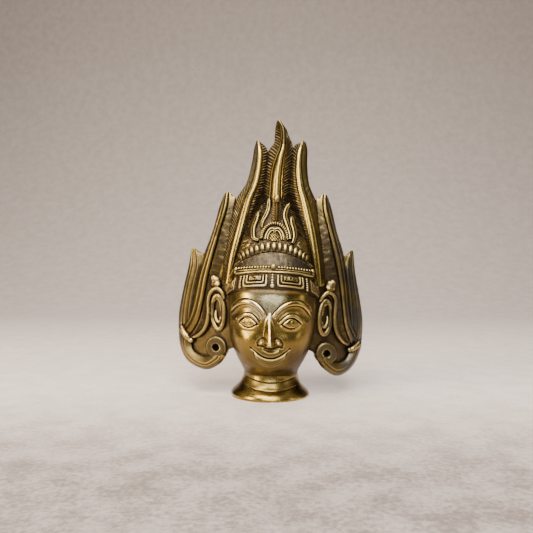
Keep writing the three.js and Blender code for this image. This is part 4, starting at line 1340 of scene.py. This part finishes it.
def read_mesh(mesh):
    mesh.calc_loop_triangles()
    points = np.empty(len(mesh.vertices) * 3, np.float32)
    mesh.vertices.foreach_get("co", points)
    triangles = np.empty(len(mesh.loop_triangles) * 3, np.int32)
    mesh.loop_triangles.foreach_get("vertices", triangles)
    tones = {}
    for tag in ("dark", "dull", "known"):
        values = np.empty(len(mesh.vertices), np.float32)
        mesh.attributes[tag].data.foreach_get("value", values)
        tones[tag] = values
    return points.reshape(-1, 3), triangles.reshape(-1, 3), tones


def main_body(points, triangles):
    """Marks the triangles of the largest closed skin, so small shut-in voids are filled."""
    label = np.arange(len(points))
    while True:
        lowest = label[triangles].min(axis=1)
        new = label.copy()
        for k in range(3):
            np.minimum.at(new, triangles[:, k], lowest)
        new = new[new]
        if (new == label).all():
            break
        label = new
    names, where = np.unique(label[triangles[:, 0]], return_inverse=True)
    return where == np.bincount(where, weights=volumes(points, triangles)).argmax(), len(names)


def cavity(points, triangles, normals, reach):
    """How shut in each point is, from 0 to 1, by rays that look for metal nearby."""
    tree = BVHTree.FromPolygons(points.tolist(), triangles.tolist())
    golden = math.pi * (3 - math.sqrt(5))
    rays, clearance = 12, 0.00006
    directions = []
    for k in range(rays):
        up = 0.12 + 0.84 * (k + 0.5) / rays
        flat = math.sqrt(1 - up * up)
        directions.append((flat * math.cos(golden * k), flat * math.sin(golden * k), up))
    result = np.zeros(len(points))
    for i, (point, normal) in enumerate(zip(points, normals)):
        n = Vector(normal)
        side = n.orthogonal().normalized()
        other = n.cross(side)
        start = Vector(point) + n * clearance
        total = 0.0
        for a, b, c in directions:
            hit = tree.ray_cast(start, side * a + other * b + n * c, reach)
            if hit[0] is not None:
                total += 1 - hit[3] / reach
        result[i] = total / rays
    return result


def point_normals(points, triangles):
    corners = points[triangles].astype(float)
    flat = np.cross(corners[:, 1] - corners[:, 0], corners[:, 2] - corners[:, 0])
    normals = np.zeros((len(points), 3))
    for k in range(3):
        np.add.at(normals, triangles[:, k], flat)
    return normals / np.maximum(np.linalg.norm(normals, axis=1, keepdims=True), 1e-12)


def spread(values, triangles, times):
    """Averages values over neighbouring points."""
    pairs = edges_of(triangles)
    for _ in range(times):
        total, count = values.copy(), np.ones(len(values))
        np.add.at(total, pairs[:, 0], values[pairs[:, 1]])
        np.add.at(count, pairs[:, 0], 1)
        values = total / count
    return values


def aged(shells, amount):
    """Skins with at least this much tarnish on them."""
    return [(points, triangles, dark, np.maximum(dull, amount)) for points, triangles, dark, dull in shells]


def casting():
    """The whole mask: joins its forms, hollows it and cuts its foot flat."""
    hair = [middle_flame()]
    for side in sides:
        hair += [flank_flame(side), side_flame(side), outer_flame(side), hair_roll(side), side_plate(side)]
    body = mesh_object("mask_body", hair[0])
    combine(body, hair[1:], "UNION")
    combine(body, [behind_hair()], "DIFFERENCE")
    light, middling, strong = 0.35, 0.6, 0.65  # how much tarnish lies on the ornament
    ornament = aged([band(), core()] + bead_seat() + band_beads() + arches() + curls() + stem(), middling)
    ornament += aged(cap_lines() + petals() + bead_row(), light)
    ornament += [face_shell(), crown_shell(), neck_and_foot()]
    for side in sides:
        ornament += aged([crown_hatch(side), ear_loop(side), ear_disc(side)], strong)
        ornament += aged(ear_inside(side) + ear_arch(side), middling) + slant_cut(side)
    combine(body, ornament, "UNION")
    hollows = [face_hollow(), neck_hollow(), below_table()] + [ear_hole(side) for side in sides]
    return combine(body, hollows, "DIFFERENCE")


def bulging(points, triangles, normals):
    """How ridge-like the surface is: 1 on a ridge about a millimetre in radius, 0 where it's flat."""
    pairs = edges_of(triangles)
    step = points[pairs[:, 1]].astype(float) - points[pairs[:, 0]]
    span = (step**2).sum(axis=1)
    bend = -2 * np.einsum("ij,ij->i", step, normals[pairs[:, 0]]) / np.maximum(span, 1e-10)
    total, count = np.zeros(len(points)), np.full(len(points), 1e-9)
    np.add.at(total, pairs[:, 0], bend)
    np.add.at(count, pairs[:, 0], 1)
    return np.clip(spread(total / count * 0.001, triangles, 2), -1, 1)


def finished_mask():
    """The casting as one mesh, with the tones that its material reads."""
    near, crease_angle = 0.006, math.radians(50)  # reach of the search for nearby metal, in metres
    rough = casting()
    points, triangles, tones = read_mesh(rough.data)
    keep, bodies = main_body(points, triangles)
    used, triangles = np.unique(triangles[keep], return_inverse=True)
    triangles = triangles.reshape(-1, 3)
    points = points[used]
    dark, dull, known = (tones[tag][used].astype(float) for tag in ("dark", "dull", "known"))
    normals = point_normals(points, triangles)
    shut = spread(cavity(points, triangles, normals, near), triangles, 1)
    proud = bulging(points, triangles, normals)
    seam = known < 0.99
    # Where skins join, points darken with how shut in they are: patina in the corners between parts, and
    # painted shade there too.
    dark = np.where(seam, np.clip(3 * shut - 0.1, 0, 0.95), dark)
    for _ in range(2):
        dull = np.where(seam, spread(dull, triangles, 1), dull)
    print("mask:", len(triangles), "triangles,", bodies, "skins")
    bpy.data.objects.remove(rough, do_unlink=True)

    tones = {"dark": dark, "dull": dull, "shut": shut, "proud": proud}
    mesh = new_mesh("brass_mask", points, triangles, tones)
    mesh.validate()
    mesh.shade_smooth()
    mesh.set_sharp_from_angle(angle=crease_angle)
    piece = bpy.data.objects.new("brass_mask", mesh)
    bpy.context.scene.collection.objects.link(piece)
    return piece


# Materials
class Nodes:
    """Short way to write a node tree."""

    def __init__(self, owner):
        owner.use_nodes = True
        self.tree = owner.node_tree
        self.tree.nodes.clear()

    def add(self, kind, **settings):
        node = self.tree.nodes.new("ShaderNode" + kind)
        for name, value in settings.items():
            setattr(node, name, value)
        return node

    def link(self, out, into):
        self.tree.links.new(out, into)

    def feed(self, socket, value):
        if isinstance(value, bpy.types.NodeSocket):
            self.link(value, socket)
        else:
            socket.default_value = value

    def fill(self, node, values):
        for name, value in values.items():
            self.feed(node.inputs[name], value)

    def math(self, operation, a, b=0.0, clamp=False):
        node = self.add("Math", operation=operation, use_clamp=clamp)
        self.feed(node.inputs[0], a)
        self.feed(node.inputs[1], b)
        return node.outputs[0]

    def times(self, a, b):
        return self.math("MULTIPLY", a, b)

    def plus(self, a, b, clamp=False):
        return self.math("ADD", a, b, clamp)

    def minus(self, a, b, clamp=False):
        return self.math("SUBTRACT", a, b, clamp)

    def remap(self, value, low, high, to_low=0.0, to_high=1.0, kind="SMOOTHSTEP"):
        node = self.add("MapRange", interpolation_type=kind)
        for socket, item in zip(node.inputs, (value, low, high, to_low, to_high)):
            self.feed(socket, item)
        return node.outputs[0]

    def mix(self, share, a, b):
        node = self.add("Mix", data_type="RGBA")
        self.feed(node.inputs[0], share)
        for socket, color in ((node.inputs[6], a), (node.inputs[7], b)):
            self.feed(socket, (*color, 1) if isinstance(color, tuple) else color)
        return node.outputs[2]

    def noise(self, vector, scale, detail=4.0, roughness=0.55):
        node = self.add("TexNoise")
        self.fill(node, {"Vector": vector, "Scale": scale, "Detail": detail, "Roughness": roughness})
        return node.outputs["Fac"]

    def attribute(self, name):
        return self.add("Attribute", attribute_name=name).outputs["Fac"]

    def axes(self, vector):
        node = self.add("SeparateXYZ")
        self.link(vector, node.inputs[0])
        return node.outputs

    def finish(self, color, roughness, metallic, bump_height, bump_strength, bump_distance):
        bump = self.add("Bump")
        self.fill(bump, {"Height": bump_height, "Strength": bump_strength, "Distance": bump_distance})
        shader = self.add("BsdfPrincipled")
        self.fill(shader, {"Base Color": color, "Roughness": roughness, "Metallic": metallic})
        self.link(bump.outputs[0], shader.inputs["Normal"])
        self.link(shader.outputs[0], self.add("OutputMaterial").inputs[0])


def painted_forehead_sheen(n, parts, worn, dark):
    """Share of the painted pale sheen on the forehead, a painted reflection; the dark inside of the hollow
    has none.
    """
    middle_x, middle_z, wide = -0.001, 0.078, 1.1
    across = n.times(n.minus(parts["X"], middle_x), wide)
    up = n.minus(parts["Z"], middle_z)
    away = n.math("SQRT", n.plus(n.times(across, across), n.times(up, up)))
    uneven = n.times(n.minus(worn, 0.5), 0.008)
    sheen_patch = n.remap(n.plus(away, uneven), 0.011, 0.019, 0.8, 0.0)
    return n.times(sheen_patch, n.remap(dark, 0.2, 0.4, 1.0, 0.0))


def brass_material():
    """Polished yellow brass on the high places, with a brown-black patina left in the cuts; the lighter
    ridges carry a painted highlight, the forehead a painted sheen, and the hollows painted shade with their
    patina.
    """
    material = bpy.data.materials.new("aged_brass")
    n = Nodes(material)
    place = n.add("TexCoord").outputs["Object"]
    parts = n.axes(place)
    drawn_out = n.add("VectorMath", operation="MULTIPLY")
    n.feed(drawn_out.inputs[0], place)
    n.feed(drawn_out.inputs[1], (1, 1, 0.08))
    dark, dull, shut, proud = (n.attribute(tag) for tag in ("dark", "dull", "shut", "proud"))
    deep_gold, brown_gold, rubbed_highlight_gold = (0.285, 0.19, 0.044), (0.19, 0.124, 0.03), (0.62, 0.45, 0.15)
    warm_grey, dark_grey, blue_grey = (0.082, 0.063, 0.034), (0.039, 0.031, 0.019), (0.055, 0.06, 0.066)
    painted_sheen_pale, sooty = (0.62, 0.52, 0.3), (0.045, 0.04, 0.033)
    black_brown, brown = (0.012, 0.0075, 0.0042), (0.045, 0.028, 0.013)
    blotch = n.noise(place, 55, 5)
    worn = n.noise(place, 260, 5)
    fine = n.noise(place, 900, 6, 0.6)
    streak = n.noise(drawn_out.outputs[0], 1100, 3)

    # Patina in the cuts and hollows, with painted shade: the colour darkens with how shut in each point is.
    recess_patina_and_shade = n.plus(n.times(shut, 2.8), n.times(n.minus(worn, 0.5), 0.7))
    patina_and_shade = n.math("MAXIMUM", n.remap(recess_patina_and_shade, 0.3, 1.05), n.remap(dark, 0.2, 0.75), clamp=True)
    # Ridges are painted a lighter gold: rubbed brass, and a painted highlight along them.
    ridge_wear_and_highlight = n.remap(proud, 0.1, 0.45)
    gold = n.mix(n.remap(blotch, 0.35, 0.7), deep_gold, brown_gold)
    rubbed = n.mix(n.times(ridge_wear_and_highlight, 0.8), gold, rubbed_highlight_gold)
    grey = n.mix(n.remap(worn, 0.3, 0.7), warm_grey, dark_grey)
    metal = n.mix(n.times(dull, n.minus(1.0, n.times(ridge_wear_and_highlight, 0.6))), rubbed, grey)
    far_right = n.times(n.remap(parts["X"], 0.035, 0.06), n.remap(blotch, 0.42, 0.56))
    metal = n.mix(n.times(far_right, 0.55), metal, blue_grey)
    # Painted reflection: a pale sheen painted on the middle of the forehead.
    metal = n.mix(painted_forehead_sheen(n, parts, worn, dark), metal, painted_sheen_pale)
    streaked = n.times(n.remap(dull, 0.85, 0.97), n.remap(streak, 0.4, 0.62))
    metal = n.mix(n.times(streaked, 0.8), metal, sooty)
    patina = n.mix(n.remap(fine, 0.35, 0.65), black_brown, brown)
    color = n.mix(n.times(patina_and_shade, 0.97), metal, patina)

    base_rough = n.remap(worn, 0.25, 0.75, 0.18, 0.3, "LINEAR")
    rough = n.plus(base_rough, n.times(n.math("MAXIMUM", patina_and_shade, dull), 0.22), clamp=True)
    metallic = n.minus(1.0, n.times(patina_and_shade, 0.12), clamp=True)
    n.finish(color, rough, metallic, n.plus(n.times(fine, 0.4), worn), 0.14, 0.0004)
    return material


def stone_material():
    """Pale stone with painted shade: darker toward the front of the part the camera sees, and near black in
    front of it and to its sides, so the brass reflects a dim room.
    """
    material = bpy.data.materials.new("pale_floor")
    n = Nodes(material)
    place = n.add("TexCoord").outputs["Object"]
    parts = n.axes(place)
    broad = n.noise(place, 45, 5)
    grit = n.noise(place, 330, 6, 0.7)
    grain = n.remap(n.plus(n.times(broad, 0.45), n.times(grit, 0.55)), 0.38, 0.62)
    far = n.mix(grain, (0.58, 0.49, 0.445), (0.68, 0.59, 0.545))
    # Painted shade: the stone darkens toward the front, and is near black outside the view.
    shaded_near_stone = n.mix(grain, (0.15, 0.117, 0.1), (0.33, 0.275, 0.245))
    pale = n.mix(n.remap(parts["Y"], -0.2, 0.04), shaded_near_stone, far)
    in_front = n.remap(parts["Y"], -0.30, -0.22, 1.0, 0.0)
    beside = n.minus(n.math("ABSOLUTE", parts["X"]), n.times(parts["Y"], 0.5))
    painted_dark_outside_view = n.math("MAXIMUM", in_front, n.remap(beside, 0.26, 0.42))
    color = n.mix(painted_dark_outside_view, pale, (0.03, 0.025, 0.02))
    n.finish(color, 0.8, 0.0, grain, 0.25, 0.001)
    return material


# Floor, light and camera
def floor():
    """Plain pale floor that sweeps up to a backdrop far behind the mask."""
    width, front, back, bend, top = 6.0, -3.0, 1.6, 0.9, 3.5
    sweep = [(back - bend + bend * math.sin(t), bend - bend * math.cos(t))
             for t in np.linspace(0, math.pi / 2, 16)]
    rows = [(front, 0.0)] + sweep + [(back, top)]
    points = [(x, y, z) for y, z in rows for x in (-width, width)]
    faces = [(2 * k, 2 * k + 1, 2 * k + 3, 2 * k + 2) for k in range(len(rows) - 1)]
    mesh = bpy.data.meshes.new("floor")
    mesh.from_pydata(points, [], faces)
    mesh.shade_smooth()
    mesh.materials.append(stone_material())
    sheet = bpy.data.objects.new("floor", mesh)
    bpy.context.scene.collection.objects.link(sheet)


def area_light(name, place, size, power, color):
    """A rectangular light that faces the middle of the mask."""
    light = bpy.data.lights.new(name, "AREA")
    light.shape, light.size, light.size_y = "RECTANGLE", size[0], size[1]
    light.energy, light.color = power, color
    lamp = bpy.data.objects.new(name, light)
    lamp.location = place
    lamp.rotation_euler = (Vector((0, 0, 0.1)) - Vector(place)).to_track_quat("-Z", "Y").to_euler()
    bpy.context.scene.collection.objects.link(lamp)


def surroundings():
    """A dim room: dark toward the viewer, brighter above and behind the mask."""
    world = bpy.data.worlds.new("room")
    n = Nodes(world)
    parts = n.axes(n.add("TexCoord").outputs["Generated"])
    strength = 0.39
    for axis, weight in (("Y", 0.3), ("Z", 0.14), ("X", -0.05)):
        strength = n.plus(n.times(parts[axis], weight), strength)
    back = n.add("Background")
    n.fill(back, {"Color": (1, 0.93, 0.87, 1), "Strength": strength})
    n.link(back.outputs[0], n.add("OutputWorld").inputs[0])
    bpy.context.scene.world = world


def lights():
    area_light("front_sky", (0.02, -0.78, 0.52), (0.6, 0.6), 12, (0.9, 0.95, 1))
    area_light("high_front", (-0.12, -0.5, 0.9), (0.9, 0.35), 17, (1, 0.93, 0.8))
    area_light("window", (-0.85, -0.5, 0.3), (0.3, 0.6), 12.4, (1, 0.84, 0.56))
    area_light("above", (0, 0.25, 1.2), (1.2, 0.7), 12, (1, 0.96, 0.93))
    area_light("right_strip", (0.9, -0.3, 0.25), (0.2, 0.6), 1.0, (1, 0.96, 0.9))
    surroundings()


def camera():
    """The photograph's viewpoint: level, and 2 degrees to the right of the mask's front."""
    turn = math.radians(2.0)
    distance_m, height_m, focal, width_px = 0.458, 0.101, 577.0, 533.0
    foot_px, middle_px = 270.2, 266.5
    ahead = Vector((-math.sin(turn), math.cos(turn), 0))
    right = Vector((math.cos(turn), math.sin(turn), 0))
    axis = Vector((frame_shift[0] * 0.001, frame_shift[1] * 0.001, 0))
    aside = -(foot_px - middle_px) * distance_m / focal
    lens = bpy.data.cameras.new("camera")
    lens.sensor_width, lens.lens = 36, 36 * focal / width_px
    view = bpy.data.objects.new("camera", lens)
    view.location = axis - ahead * distance_m + right * aside + Vector((0, 0, height_m))
    view.rotation_euler = (math.pi / 2, 0, turn)
    bpy.context.scene.collection.objects.link(view)
    bpy.context.scene.camera = view


camera()
floor()
lights()
mask = finished_mask()
mask.data.materials.append(brass_material())
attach(mask, "root")
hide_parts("mask")
